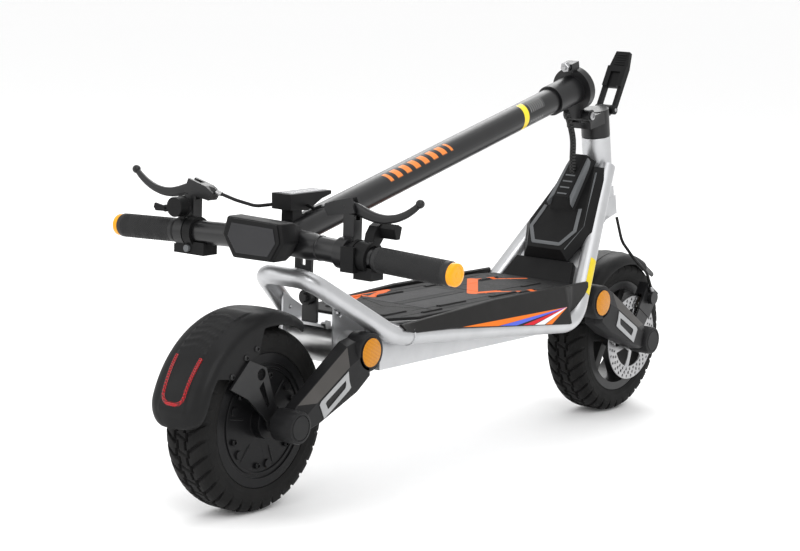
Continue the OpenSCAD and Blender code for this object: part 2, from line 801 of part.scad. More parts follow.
// Casting on the stem's lower end: round flange, pivot lug, sleeve for the tube and clamp ears
module hinge_head() {
    color("black") at_fold() difference() {
        union() {
            translate([-head_plate - 0.5, 0, hinge_off]) rotate([0, 90, 0]) cylinder(h = head_plate, r = flange_r);
            translate([-78, 0, hinge_off]) rotate([0, 90, 0]) cylinder(h = 66, r = stem_r + 4);
            bar_y(-lug_half, lug_half, knuckle_r);
            block([-head_plate - 0.5, -lug_half, -2], [-0.5, lug_half, 24]);
            block([-head_plate - 8, -10, hinge_off + flange_r - 6], [-1, 10, hinge_off + flange_r + 9]);
        }
        bar_y(-40, 40, fold_pin_r + run_gap);
        translate([-90, 0, hinge_off]) rotate([0, 90, 0]) cylinder(h = 72, r = stem_r + run_gap);
        translate([-head_plate - 9, 0, hinge_off + flange_r + 4]) rotate([0, 90, 0]) cylinder(h = 30, r = 3);
    }
}

module stem_tube() {
    color("black") difference() {
        at_fold() translate([-stem_len, 0, hinge_off]) rotate([0, 90, 0]) cylinder(h = stem_len - 18.5, r = stem_r);
        at_fold() translate([-stem_len - 1, 0, hinge_off]) rotate([0, 90, 0]) cylinder(h = stem_len, r = stem_r - stem_wall);
        both() bar_rod(0, 60, bar_r + 0.1);
    }
}

right_grip_y = 168;
left_grip_y = 183;
module bar_rod(y0, y1, r) {
    rod([bar_pt[0], y0, bar_z(y0)], [bar_pt[0], y1, bar_z(y1)], r);
}

module handlebar() {
    color("black") difference() {
        union() {
            bar_rod(0, right_grip_y * -1, bar_r);
            bar_rod(0, left_grip_y, bar_r);
            bar_rod(0, -bar_w / 2 + 8, bar_end_r);
            bar_rod(0, bar_w / 2 - 8, bar_end_r);
        }
        bar_rod(-right_grip_y - 2, -bar_w / 2, bar_end_r - 2.5);
        bar_rod(left_grip_y + 2, bar_w / 2, bar_end_r - 2.5);
    }
}

module grips() {
    color("black") difference() {
        union() {
            bar_rod(-right_grip_y - 0.5, -bar_w / 2 + 8, grip_r);
            bar_rod(left_grip_y + 0.5, bar_w / 2 - 8, grip_r);
        }
        bar_rod(0, -bar_w / 2, bar_end_r + run_gap);
        bar_rod(0, bar_w / 2, bar_end_r + run_gap);
    }
}

module bar_end_plugs() {
    color("orange") for (s = [-1, 1]) {
        bar_rod(s * (bar_w / 2 - 8), s * bar_w / 2, grip_r - 1.5);
    }
}

disp_back = bar_pt[0] - 56;
module display() {
    color("black") difference() {
        hull() {
            block([disp_back, -48, bar_pt[2] - 22], [disp_back + 4, 50, bar_pt[2] + 24]);
            block([disp_back + 14, -58, bar_pt[2] - 26], [disp_back + 34, 66, bar_pt[2] + 34]);
            block([bar_pt[0] - 4, -62, bar_pt[2] - 14], [bar_pt[0] + 2, 70, bar_pt[2] + 30]);
        }
        bar_rod(0, -90, bar_r + 0.3);
        bar_rod(0, 90, bar_r + 0.3);
        at_fold() translate([-stem_len, 0, hinge_off]) rotate([0, 90, 0]) cylinder(h = 90, r = stem_r + 0.3);
    }
}

lamp_x = bar_pt[0] + 8;
module headlight() {
    color("black") {
        slab_y(-13, 21) polygon([[lamp_x, bar_pt[2] + 40], [lamp_x + 38, bar_pt[2] + 38],
            [lamp_x + 66, bar_pt[2] + 52], [lamp_x + 86, bar_pt[2] + 57], [lamp_x + 86, bar_pt[2] + 62],
            [lamp_x - 1, bar_pt[2] + 62]]);
        difference() {
            block([lamp_x + 10, -8, bar_pt[2] + 20], [lamp_x + 30, 12, bar_pt[2] + 42]);
            at_fold() translate([-stem_len, 0, hinge_off]) rotate([0, 90, 0]) cylinder(h = 90, r = stem_r + 0.1);
        }
    }
}

clamp_r = bar_r + 5;
left_lever_y = 170;
right_lever_y = 118;
lever_x = bar_pt[0] + 12;
// Lever bracket: clamp ring on the bar and the body that the lever pivots in
module lever_bracket(y, s) {
    difference() {
        union() {
            bar_rod(s * (y - 8), s * (y + 8), clamp_r);
            block([lever_x - 9, s * y - 9, bar_z(y) + 10], [lever_x + 9, s * y + 9, bar_z(y) + 52]);
            slab_x(lever_x - 9, lever_x + 9) polygon([[s * (y + 10), bar_z(y) + 54], [s * (y + 2), bar_z(y) + 74],
                [s * (y - 30), bar_z(y) + 66], [s * (y - 44), bar_z(y) + 58], [s * (y - 36), bar_z(y) + 46]]);
        }
        bar_rod(0, s * bar_w / 2, bar_r + 0.05);
        slab_x(lever_x - 4.5, lever_x + 4.5) polygon([[s * (y + 16), bar_z(y) + 44], [s * (y + 16), bar_z(y) + 80],
            [s * (y - 18), bar_z(y) + 80], [s * (y - 18), bar_z(y) + 50], [s * (y - 8), bar_z(y) + 44]]);
        translate([lever_x - 20, s * (y - 8), bar_z(y) + 60]) rotate([0, 90, 0]) cylinder(h = 40, r = 2.5 + run_gap);
    }
    translate([lever_x - 9, s * (y - 8), bar_z(y) + 60]) rotate([0, 90, 0]) cylinder(h = 18, r = 2.5);
}

// Outline in the Y-Z plane, thick along X from x0 to x1
module slab_x(x0, x1) {
    translate([x0, 0, 0]) rotate([90, 0, 90]) linear_extrude(x1 - x0) children();
}

module lever_brackets() {
    color("black") {
        lever_bracket(left_lever_y, 1);
        lever_bracket(right_lever_y, -1);
    }
}

// Brake lever: pivot eye in the bracket and a curved blade with a round end
module brake_lever(y, s) {
    z = bar_z(y) + 60;
    translate([lever_x, s * (y - 8), z]) difference() {
        union() {
            rotate([0, 90, 0]) translate([0, 0, -4]) cylinder(h = 8, r = 7);
            slab_x(-4, 4) polygon([for (q = [[-6, 3], [10, 7], [24, 2], [44, -6], [70, -5], [96, 4], [118, 18],
                [122, 14], [100, -4], [72, -14], [44, -15], [22, -10], [8, -7], [-4, -6]]) [s * q[0], q[1]]]);
            translate([0, s * 119, 16]) sphere(r = 6);
        }
        translate([-20, 0, 0]) rotate([0, 90, 0]) cylinder(h = 40, r = 2.5 + run_gap);
    }
}

module left_brake_lever() {
    color("black") brake_lever(left_lever_y, 1);
}

module right_brake_lever() {
    color("black") brake_lever(right_lever_y, -1);
}

bell_pt = [bar_pt[0] - 12, left_lever_y - 1, bar_z(left_lever_y) + 36];
module bell() {
    color("black") {
        difference() {
            translate(bell_pt) rotate([0, -90, 0]) cylinder(h = 16, r = 14);
            translate(bell_pt) rotate([0, -90, 0]) translate([0, 0, -1]) cylinder(h = 14, r = 12);
        }
        translate(bell_pt) rotate([0, 90, 0]) cylinder(h = 3, r = 15);
        block([bell_pt[0], bell_pt[1] + 8, bell_pt[2] - 9], [bell_pt[0] + 3, bell_pt[1] + 30, bell_pt[2] - 1]);
        translate(striker_pt - [4, 0, 0]) rotate([0, 90, 0]) cylinder(h = 10, r = 1.5);
        translate(bell_pt) rotate([0, -90, 0]) cylinder(h = 15, r = 2.5);
        difference() {
            translate([bell_pt[0], bell_pt[1] - 5, bar_z(left_lever_y) + 12]) cube([3, 10, 16]);
            bar_rod(0, bar_w / 2, clamp_r + 0.1);
        }
    }
}

striker_pt = [bell_pt[0] - 5, bell_pt[1] + 26, bell_pt[2] - 5];
module bell_striker() {
    color("black") difference() {
        union() {
            translate(striker_pt) rotate([0, 90, 0]) translate([0, 0, -2]) cylinder(h = 4, r = 5);
            slab_x(striker_pt[0] - 2, striker_pt[0] + 2) polygon([for (q = [[-4, 2], [20, 6], [22, 0], [18, -5], [-3, -4]])
                [striker_pt[1] + q[0], striker_pt[2] + q[1]]]);
        }
        translate(striker_pt - [10, 0, 0]) rotate([0, 90, 0]) cylinder(h = 20, r = 1.5 + run_gap);
    }
}

// Hook plate: a slotted strap that hangs from the stem to the keeper
hook_x = loop_nose[0] + 42;
module hook_plate() {
    color("black") difference() {
        block([hook_x - 2.5, -15, nose_z - 3], [hook_x + 2.5, 15, bar_pt[2] + 4]);
        block([hook_x - 5, -4, nose_z + 10], [hook_x + 5, 4, nose_z + 26]);
        at_fold() translate([-stem_len - 1, 0, hinge_off]) rotate([0, 90, 0]) cylinder(h = stem_len, r = stem_r + 0.05);
    }
}

cable_r = 2.5;
module brake_cables() {
    color("black") {
        sweep(rounded([[lever_x, left_lever_y - 45, bar_z(left_lever_y) + 58], [lever_x, 90, 408],
            [lever_x + 8, 60, 402], [lever_x + 22, 22.4, 409]], [40, 40], 4), cable_r, 8, [0, 0, 1]);
        sweep(rounded([[lever_x, -right_lever_y + 45, bar_z(right_lever_y) + 58], [lever_x + 6, -56, 414],
            [lever_x + 20, -36, 407], [lever_x + 30, -14.6, 409]], [20, 20], 4), cable_r, 8, [0, 0, 1]);
    }
}

ring_y = 150;
module throttle_ring() {
    color("black") difference() {
        union() {
            bar_rod(-ring_y + 14, -ring_y - 14, clamp_r);
            block([bar_pt[0] - 24, -ring_y + 1, bar_z(ring_y) - 20], [bar_pt[0] - 6, -ring_y + 22.6, bar_z(ring_y) + 14]);
            block([bar_pt[0] - 14, -ring_y - 22, bar_z(ring_y) - 29], [bar_pt[0] + 12, -ring_y + 8, bar_z(ring_y) - 12]);
        }
        bar_rod(0, -bar_w / 2, bar_r + 0.05);
        bar_rod(-ring_y - 9, -ring_y + 9, bar_r + 5.5);
        bar_rod(-right_grip_y, -bar_w / 2, grip_r + 0.1);
    }
}

// Thumb paddle that turns on the bar inside the throttle ring
module throttle_paddle() {
    color("black") difference() {
        union() {
            bar_rod(-ring_y - 8.3, -ring_y + 8.3, bar_r + 4);
            translate([bar_pt[0], 0, bar_z(ring_y)]) {
                slab_y(-ring_y - 7.5, -ring_y + 7) polygon([[4, 14], [18, 10], [34, 28], [34, 40], [26, 44], [16, 40], [8, 30]]);
                slab_y(-ring_y - 34, -ring_y - 7) polygon([[22, 24], [30, 24], [34, 40], [26, 44], [18, 38]]);
            }
        }
        bar_rod(0, -bar_w / 2, bar_r + run_gap);
    }
}

pod_y = 155;
module switch_pod() {
    color("black") difference() {
        union() {
            bar_rod(pod_y - 9, pod_y + 5, clamp_r);
            block([bar_pt[0] - 14, pod_y - 30, bar_z(pod_y) - 30], [bar_pt[0] + 14, pod_y + 26, bar_z(pod_y) - 12]);
        }
        bar_rod(0, bar_w / 2, bar_r + 0.05);
        bar_rod(pod_y + 6, pod_y + 40, clamp_r + 0.1);
        translate([bar_pt[0] - 20, pod_y, bar_z(pod_y) - 22]) rotate([0, 90, 0]) cylinder(h = 14, r = 5.5);
    }
}

module horn_button() {
    color("gray") translate([bar_pt[0] - 18, pod_y, bar_z(pod_y) - 22]) rotate([0, 90, 0]) cylinder(h = 8, r = 5);
}

rear_loop();
side_rails();
head_tube();
rear_gussets();
rear_drum();
battery_tray();
battery_pack();
deck_plate();
deck_mat();
side_fairings();
neck_panel();
controller_cover();
motor_controller();
headset_bearings();
latch_keeper();
cable_sleeve();
stand_bracket();
kickstand();
fork();
hinge_base();
hinge_pin();
fold_lever();
front_arms();
front_reflectors();
front_shafts();
brake_caliper();
brake_pads();
front_fender();
brake_hose();
front_tyre();
front_rim();
brake_disc();
front_bearings();
rear_arms();
rear_reflectors();
rear_shafts();
motor_stator();
rear_fender();
tail_light();
fender_stays();
rear_tyre();
hub_motor();
stem_tube();
hinge_head();
handlebar();
grips();
bar_end_plugs();
display();
headlight();
lever_brackets();
bell();
bell_striker();
hook_plate();
brake_cables();
left_brake_lever();
right_brake_lever();
throttle_ring();
throttle_paddle();
switch_pod();
horn_button();
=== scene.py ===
"""Visual model of a folding kick scooter, folded flat on a pale studio floor.

All sizes in the classes are millimetres in the CAD model's frame; meshes are made in metres.
"""
import json
import logging
import math
from dataclasses import dataclass, field
from enum import Enum
from typing import Any, Callable, Sequence, Union

import bmesh
import bpy
import numpy as np
from mathutils import Matrix, Vector

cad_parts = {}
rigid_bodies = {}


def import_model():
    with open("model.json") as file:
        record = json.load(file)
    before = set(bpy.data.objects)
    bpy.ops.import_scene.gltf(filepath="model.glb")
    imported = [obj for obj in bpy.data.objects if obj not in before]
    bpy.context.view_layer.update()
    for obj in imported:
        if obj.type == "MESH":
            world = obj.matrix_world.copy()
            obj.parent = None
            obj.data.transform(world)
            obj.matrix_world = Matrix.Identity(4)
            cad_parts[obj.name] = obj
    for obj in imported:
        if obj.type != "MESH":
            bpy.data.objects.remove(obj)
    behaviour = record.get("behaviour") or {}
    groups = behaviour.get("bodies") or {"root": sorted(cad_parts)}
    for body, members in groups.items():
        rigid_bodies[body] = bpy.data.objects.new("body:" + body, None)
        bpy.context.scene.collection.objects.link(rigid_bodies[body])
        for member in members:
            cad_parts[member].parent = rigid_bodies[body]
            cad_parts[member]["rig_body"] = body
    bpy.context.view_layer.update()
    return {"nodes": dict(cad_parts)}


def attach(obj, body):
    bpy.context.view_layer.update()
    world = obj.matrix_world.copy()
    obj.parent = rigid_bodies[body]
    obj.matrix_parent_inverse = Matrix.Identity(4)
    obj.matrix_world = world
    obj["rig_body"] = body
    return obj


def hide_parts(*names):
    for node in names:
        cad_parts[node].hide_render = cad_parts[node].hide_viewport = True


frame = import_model()
MM = 0.001
MERGE = 1e-5
SMALL = 0.001
REAR_AXLE = (-443.0, 127.5)
FRONT_AXLE = (457.0, 127.5)
log = logging.getLogger("scooter")
Color = tuple[float, float, float]
Outline = tuple[tuple[float, float], ...]
Number = Union[float, "Signal"]


class Side(Enum):
    """Which side of the middle plane a piece is on."""

    LEFT = 1
    RIGHT = -1

    @property
    def tag(self) -> str:
        """The side's name as the pieces have it."""
        return self.name.lower()


class Signal:
    """A shader value with Python's arithmetic; each operation adds a Math node."""

    def __init__(self, graph: "Graph", socket: Any) -> None:
        """Keeps the graph and the output socket."""
        self.graph = graph
        self.socket = socket

    def math(self, operation: str, *others: Number, swap: bool = False) -> "Signal":
        """One Math node.

        Args:
            operation: the Math node's operation.
            others: further operands.
            swap: puts the first of the others ahead of this value.

        Returns:
            The node's result.
        """
        values: list[Number] = [self, *others]
        if swap:
            values[0], values[1] = values[1], values[0]
        return self.graph.add("ShaderNodeMath", {"operation": operation}, dict(enumerate(values)))

    def __add__(self, other: Number) -> "Signal":
        """Sum."""
        return self.math("ADD", other)

    __radd__ = __add__

    def __sub__(self, other: Number) -> "Signal":
        """Difference."""
        return self.math("SUBTRACT", other)

    def __rsub__(self, other: Number) -> "Signal":
        """Reflected difference."""
        return self.math("SUBTRACT", other, swap=True)

    def __mul__(self, other: Number) -> "Signal":
        """Product."""
        return self.math("MULTIPLY", other)

    __rmul__ = __mul__

    def __truediv__(self, other: Number) -> "Signal":
        """Quotient."""
        return self.math("DIVIDE", other)

    def __rtruediv__(self, other: Number) -> "Signal":
        """Reflected quotient."""
        return self.math("DIVIDE", other, swap=True)

    def clamp(self) -> "Signal":
        """The value held between nought and one."""
        return self.math("MAXIMUM", 0.0).math("MINIMUM", 1.0)

    def abs(self) -> "Signal":
        """The value without its sign."""
        return self.math("ABSOLUTE")

    def step(self, edge: float, soft: float) -> "Signal":
        """Rises from nought to one across edge, over a width of soft."""
        return ((self - (edge - soft / 2)) / soft).clamp()

    def band(self, low: float, high: float, soft: float) -> "Signal":
        """One between low and high, nought outside, with soft edges."""
        return self.step(low, soft) * (1 - self.step(high, soft))

    def wave(self, pitch: float) -> "Signal":
        """A triangle wave from nought to one with the given pitch."""
        return self.math("PINGPONG", pitch / 2) / (pitch / 2)


class Graph:
    """A material's node tree."""

    def __init__(self, name: str) -> None:
        """Makes a material with an empty Principled shader.

        Args:
            name: the material's name.
        """
        self.material = bpy.data.materials.new(name)
        self.material.use_nodes = True
        self.tree = self.material.node_tree
        self.shader = self.tree.nodes["Principled BSDF"]

    def add(self, kind: str, settings: dict[str, Any], inputs: dict[Any, Any], out: Any = 0) -> Signal:
        """Adds one node.

        Args:
            kind: the node's type.
            settings: its settings, set before its inputs.
            inputs: values or signals by input name or number.
            out: the output that is returned.

        Returns:
            The chosen output.
        """
        node = self.tree.nodes.new(kind)
        for key, value in settings.items():
            setattr(node, key, value)
        for key, value in inputs.items():
            if isinstance(value, Signal):
                self.tree.links.new(value.socket, node.inputs[key])
            else:
                node.inputs[key].default_value = value
        return Signal(self, node.outputs[out])

    def place(self) -> "Place":
        """The piece's Object coordinates."""
        where = self.add("ShaderNodeTexCoord", {}, {}, "Object")
        outs = self.add("ShaderNodeSeparateXYZ", {}, {0: where}).socket.node.outputs
        return Place(self, where, *(Signal(self, outs[i]) * 1000.0 for i in range(3)))

    def noise(self, where: Signal, scale: float, detail: float = 3.0) -> Signal:
        """Fractal noise with features of about one over scale metres."""
        return self.add("ShaderNodeTexNoise", {}, {"Vector": where, "Scale": scale, "Detail": detail})

    def mix(self, share: Number, low: Any, high: Any) -> Signal:
        """Colour between low and high."""
        ends = [end if isinstance(end, Signal) else (*end, 1) for end in (low, high)]
        return self.add("ShaderNodeMix", {"data_type": "RGBA"}, {0: share, 6: ends[0], 7: ends[1]}, 2)

    def set(self, name: str, value: Any) -> None:
        """Sets or links one socket of the shader."""
        if isinstance(value, Signal):
            self.tree.links.new(value.socket, self.shader.inputs[name])
        else:
            self.shader.inputs[name].default_value = value

    def bump(self, height: Signal, depth: float, strength: float = 1.0) -> None:
        """Feeds a height, in parts of depth metres, into the shader's normal."""
        self.set("Normal", self.add("ShaderNodeBump", {}, {"Height": height, "Distance": depth,
                                                           "Strength": strength}))


@dataclass(frozen=True)
class Place:
    """Where a shader is on its piece: a vector in metres, and x, y and z in millimetres."""

    graph: Graph
    where: Signal
    x: Signal
    y: Signal
    z: Signal

    def noise(self, scale: float, detail: float = 3.0) -> Signal:
        """Fractal noise over the piece."""
        return self.graph.noise(self.where, scale, detail)

    def mix(self, share: Number, low: Any, high: Any) -> Signal:
        """Colour between low and high."""
        return self.graph.mix(share, low, high)


def segment(x: Signal, y: Signal, a: Sequence[float], b: Sequence[float], half: float) -> Signal:
    """A straight stroke: the foot of the perpendicular is held between the two ends.

    Args:
        x: the place along x.
        y: the place along y.
        a: one end of the stroke.
        b: its other end.
        half: half the stroke's width.

    Returns:
        One within half of the line, nought outside.
    """
    dx, dy = b[0] - a[0], b[1] - a[1]
    along = (((x - a[0]) * dx + (y - a[1]) * dy) / (dx * dx + dy * dy)).clamp()
    gap_x, gap_y = x - a[0] - along * dx, y - a[1] - along * dy
    return 1 - (gap_x * gap_x + gap_y * gap_y).math("SQRT").step(half, 0.5)


@dataclass(frozen=True)
class Finish:
    """A finish with fine mottling, uneven gloss and a fine grain."""

    name: str
    slot: str
    base: Color
    shade: Color
    rough: float
    uneven: float = 0.08
    metal: float = 0.0
    coat: float = 0.0
    grain: float = 900.0
    depth: float = 0.00006
    emit: float = 0.0
    shine: float = 0.14

    def colour(self, at: Place) -> Signal:
        """Mottled colour: broad noise moves between base and shade."""
        broad = at.noise(35.0, 4.0).step(0.5, 0.5)
        return at.mix(broad, self.base, self.shade)

    def gloss(self, at: Place) -> Signal:
        """Roughness that varies over a few centimetres."""
        return at.noise(60.0, 5.0) * (2 * self.uneven) + (self.rough - self.uneven)

    def relief(self, at: Place) -> Signal:
        """Fine grain."""
        return at.noise(self.grain, 2.0)

    def build(self) -> bpy.types.Material:
        """Makes the material at the first call.

        Returns:
            The material.
        """
        known = bpy.data.materials.get(self.name)
        if known is not None:
            return known
        graph = Graph(self.name)
        at = graph.place()
        graph.set("Base Color", self.colour(at))
        graph.set("Roughness", self.gloss(at))
        graph.set("Metallic", self.metal)
        graph.set("Coat Weight", self.coat)
        graph.set("Coat Roughness", 0.12)
        graph.set("Specular IOR Level", self.shine)
        if self.emit:
            graph.set("Emission Color", (*self.base, 1))
            graph.set("Emission Strength", self.emit)
        graph.bump(self.relief(at), self.depth)
        return graph.material


@dataclass(frozen=True)
class Barred(Finish):
    """Tube finish with plain orange bars, a yellow band and rows of grey ticks in place of lettering."""

    def colour(self, at: Place) -> Signal:
        """Marks lie on the tube's right and upper side, spaced along x.

        Args:
            at: where the shader is on its piece.

        Returns:
            The colour.
        """
        plain = super().colour(at)
        x, y, z = at.x, at.y, at.z
        side = 1 - y.step(-2.0, 1.0)
        slanted = x + y * 0.6
        above = (z - 459.6 - x * 0.2492).step(-1.0, 1.0)
        bars = slanted.band(-172.0, -24.0, 1.0) * (slanted + 1000.0).wave(21.0).step(0.45, 0.06)
        bars = bars * y.band(-17.5, -5.0, 1.0) * above
        marked = at.mix(bars.clamp(), plain, (0.72, 0.2, 0.03))
        marked = at.mix(x.band(168.0, 180.0, 0.6) * side, marked, (0.85, 0.62, 0.02))
        ticks = x.band(186.0, 222.0, 0.6) * (x + 1000.0).wave(5.0).step(0.55, 0.2)
        ticks = ticks * y.band(-19.0, -8.0, 0.6)
        return at.mix(ticks * 0.5, marked, (0.3, 0.3, 0.3))


@dataclass(frozen=True)
class DeckRubber(Finish):
    """Deck mat with grey panels and orange outlines."""

    def colour(self, at: Place) -> Signal:
        """Panels by bands of x and y; outlines by distance from straight strokes.

        Args:
            at: where the shader is on its piece.

        Returns:
            The colour.
        """
        base = super().colour(at)
        x, y = at.x, at.y
        panel = x.band(-120.0, 40.0, 1.5) * y.abs().band(6.0, 52.0, 1.5)
        base = at.mix(panel * 0.6, base, (0.04, 0.04, 0.042))
        strokes = [((151, 56), (44, -21), 8.5), ((150, 60), (223, 4), 3.2), ((52, -18), (138, -79), 3.2),
                   ((50, -24), (88, -37), 6.0),
                   ((-120, 86), (-32, 86), 3.5), ((-34, 84), (-96, 62), 6.5), ((-96, 62), (-104, 84), 4.0),
                   ((-104, 82), (-150, 62), 6.5)]
        total = segment(x, y, *strokes[0])
        for stroke in strokes[1:]:
            total = total.math("MAXIMUM", segment(x, y, *stroke))
        return at.mix(total, base, (0.72, 0.13, 0.02))

    def relief(self, at: Place) -> Signal:
        """Fine ribs along the deck over the grain."""
        return at.noise(self.grain, 2.0) * 0.4 + at.y.wave(2.4) * 0.8


@dataclass(frozen=True)
class FairingPaint(Finish):
    """Black fairing with five coloured slashes that meet at the front."""

    def colour(self, at: Place) -> Signal:
        """A fan of straight lines runs from one tip to places on a sloping base line.

        Each slash lies between two lines of the fan and above the base line, on the outer side only.

        Args:
            at: where the shader is on its piece.

        Returns:
            The colour.
        """
        paint = super().colour(at)
        x, z = at.x, at.z
        tip_x, tip_z, base_z, fall = 179.5, 217.8, 211.7, 0.105
        above = (z - base_z + x * fall).step(0.0, 0.5) * (1 - x.step(tip_x, 0.5))
        above = above * at.y.abs().step(100.0, 1.0)
        orange, blue = (0.72, 0.16, 0.01), (0.08, 0.12, 0.6)
        red, white = (0.55, 0.01, 0.02), (0.75, 0.75, 0.75)
        slashes = ((-92.0, -8.0, orange), (-2.0, 38.0, blue), (56.0, 82.0, red), (87.0, 111.0, white),
                   (115.0, 131.0, orange))
        for start, end, tint in slashes:
            upper, lower = ((tip_z - base_z + fall * foot) / (tip_x - foot) for foot in (start, end))
            under = (tip_z + (x - tip_x) * upper - z).step(-0.4, 0.5)
            over = (z - tip_z - (x - tip_x) * lower).step(0.0, 0.5)
            paint = at.mix(under * over * above, paint, tint)
        return paint


@dataclass(frozen=True)
class Braid(Finish):
    """Braided sleeve: two families of slanting strands."""

    def relief(self, at: Place) -> Signal:
        """Strands run both ways round the sleeve, by sums and differences of height and breadth.

        Args:
            at: where the shader is on its piece.

        Returns:
            The height.
        """
        x, y, z = at.x, at.y, at.z
        one = (z + y * 1.2 + x * 0.4 + 500.0).wave(5.0)
        two = (z - y * 1.2 - x * 0.4 + 500.0).wave(5.0)
        return one.math("MAXIMUM", two)

    def colour(self, at: Place) -> Signal:
        """Painted light and shade: strands are lighter where they stand up, and the gaps between them are
        painted dark.
        """
        return at.mix(self.relief(at).step(0.75, 0.3), self.shade, self.base)


@dataclass(frozen=True)
class Prism(Finish):
    """Reflector: rows of small prisms under a clear face."""

    def relief(self, at: Place) -> Signal:
        """A triangle wave each way."""
        return (at.x + 1000.0).wave(1.9) * 0.5 + (at.z + 1000.0).wave(1.9) * 0.5

    def colour(self, at: Place) -> Signal:
        """Prism edges catch the light."""
        return at.mix(self.relief(at).step(0.6, 0.5), self.shade, self.base)


@dataclass(frozen=True)
class Brushed(Finish):
    """Metal with fine lines along x."""

    def relief(self, at: Place) -> Signal:
        """Noise over a place whose x is pressed to a twelfth, so that it becomes lines.

        Args:
            at: where the shader is on its piece.

        Returns:
            The height.
        """
        inputs = {0: at.where, 1: (0.08, 1.0, 1.0)}
        pressed = at.graph.add("ShaderNodeVectorMath", {"operation": "MULTIPLY"}, inputs)
        return at.graph.noise(pressed, 500.0, 3.0)


INK = (0.00495, 0.00495, 0.0055)
INK_WORN = (0.00715, 0.00715, 0.0077)
SILVER = Finish("silver_paint", "silver_alloy", (0.52, 0.525, 0.535), (0.46, 0.465, 0.475), 0.38, 0.06,
                0.85, 0.1, 1300.0, 0.00007, shine=0.5)
BARE = Brushed("drawn_alloy", "silver_alloy", (0.5, 0.5, 0.5), (0.4, 0.4, 0.4), 0.34, 0.08, 0.9, 0.0, 900.0,
               0.00004, shine=0.5)
BLACK = Finish("black_anodised", "black_alloy", INK, (0.0077, 0.0077, 0.00825), 0.4, 0.07, 0.0, 0.1, 1400.0,
               0.00004, shine=0.3)
TUBE = Barred("stem_paint", "black_alloy", INK, INK_WORN, 0.36, 0.05, 0.0, 0.12, 1400.0, 0.00003, shine=0.35)
TUBE_PLAIN = Finish("bar_paint", "black_alloy", INK, INK_WORN, 0.34, 0.05, 0.0, 0.12, 1400.0, 0.00003,
                    shine=0.35)
# Painted shade: a darker copy of the black alloy paint for the motor cover, which sits sunk between the tyre
# walls.
SHADED_HUB = Finish("motor_cover_paint", "black_alloy", (0.0035, 0.0035, 0.004), (0.006, 0.006, 0.0065), 0.36,
             0.06, 0.0, 0.05, 1300.0, 0.00005, shine=0.12)
ARM = Finish("arm_paint", "arm_black", (0.0077, 0.0077, 0.00825), (0.01045, 0.01045, 0.011), 0.45, 0.06,
             0.0, 0.06, 1600.0, 0.00005)
# Painted light: a lighter copy of the arm's black paint, for the bevel facet that faces the light.
LIT_FACET = Finish("arm_facet_paint", "arm_black", (0.06, 0.057, 0.054), (0.072, 0.068, 0.065), 0.5, 0.05, 0.0,
               0.0, 2000.0, 0.00006)
BADGE = Finish("badge_silver", "silver_alloy", (0.36, 0.365, 0.37), (0.3, 0.305, 0.31), 0.4, 0.05, 0.3, 0.1,
               1500.0, 0.00003)
PLASTIC = Finish("black_moulding", "black_plastic", (0.0044, 0.0044, 0.004675),
                 (0.00715, 0.00715, 0.007425), 0.52, 0.08, 0.0, 0.0, 1800.0, 0.00008)
FENDER = Finish("fender_moulding", "black_plastic", (0.0055, 0.0055, 0.005775), (0.0077, 0.0077, 0.007975),
                0.5, 0.06, 0.0, 0.04, 1700.0, 0.00007)
COVER_GREY = Finish("cover_grey_accent", "black_plastic", (0.12, 0.125, 0.13), (0.1, 0.105, 0.11), 0.42,
                    0.05, 0.1, 0.1, 1700.0, 0.00005)
FAIRING = FairingPaint("fairing_paint", "black_plastic", (0.00605, 0.005775, 0.0055),
                       (0.00935, 0.0088, 0.008525), 0.42, 0.06, 0.0, 0.06, 1700.0, 0.00006)
DECK = DeckRubber("deck_rubber", "deck_grey", (0.0066, 0.0066, 0.006875), (0.0099, 0.0099, 0.01018), 0.62,
                  0.06, 0.0, 0.0, 1500.0, 0.0003)
RUBBER = Finish("tyre_rubber", "tyre_black", (0.0044, 0.0044, 0.0044), (0.0088, 0.008525, 0.00825), 0.66,
                0.1, 0.0, 0.0, 900.0, 0.00012)
GRIP = Finish("grip_rubber_finish", "grip_rubber", (0.007, 0.007, 0.0075), (0.011, 0.011, 0.0115), 0.5,
              0.06, 0.0, 0.0, 1200.0, 0.0001, shine=0.35)
CABLE = Finish("cable_jacket", "cable_black", (0.00385, 0.00385, 0.004125), (0.0066, 0.0066, 0.0066), 0.4,
               0.06, 0.0, 0.1, 1400.0, 0.00003)
SLEEVE = Braid("braided_sleeve", "cable_black", (0.045, 0.045, 0.045), (0.005, 0.005, 0.005), 0.5, 0.08,
               0.0, 0.0, 1400.0, 0.0008)
STEEL = Brushed("brushed_steel", "steel", (0.4, 0.4, 0.4), (0.3, 0.3, 0.31), 0.3, 0.08, 1.0, 0.0, 900.0,
                0.00004, shine=0.5)
ORANGE = Finish("orange_cap", "orange_plastic", (0.85, 0.36, 0.005), (0.78, 0.3, 0.004), 0.3, 0.06, 0.0,
                0.3, 1200.0, 0.00005)
AMBER = Prism("amber_prisms", "amber_reflector", (0.85, 0.36, 0.005), (0.35, 0.11, 0.0), 0.22, 0.05, 0.0,
              0.2, 900.0, 0.0003)
RED = Prism("red_prisms", "red_lens", (0.42, 0.002, 0.007), (0.05, 0.0005, SMALL), 0.14, 0.04, 0.0, 0.3,
            900.0, 0.0002, emit=0.06)
SCREEN = Finish("screen_glass", "black_plastic", (0.006, 0.006, 0.008), (0.01, 0.01, 0.012), 0.16, 0.02,
                0.0, 0.5, 600.0, 0.00001)
LENS = Prism("lamp_lens", "grey_plastic", (0.3, 0.31, 0.33), (0.1, 0.1, 0.11), 0.16, 0.03, 0.0, 0.5, 900.0,
             0.0004)
YELLOW = Finish("yellow_reflective", "orange_plastic", (0.72, 0.56, 0.02), (0.62, 0.47, 0.02), 0.35, 0.05,
                0.0, 0.3, 1900.0, 0.00006)
BATTERY = Finish("battery_film", "battery_blue", (0.03, 0.08, 0.3), (0.04, 0.1, 0.34), 0.3, 0.05, 0.0, 0.3,
                 1000.0, 0.00006)
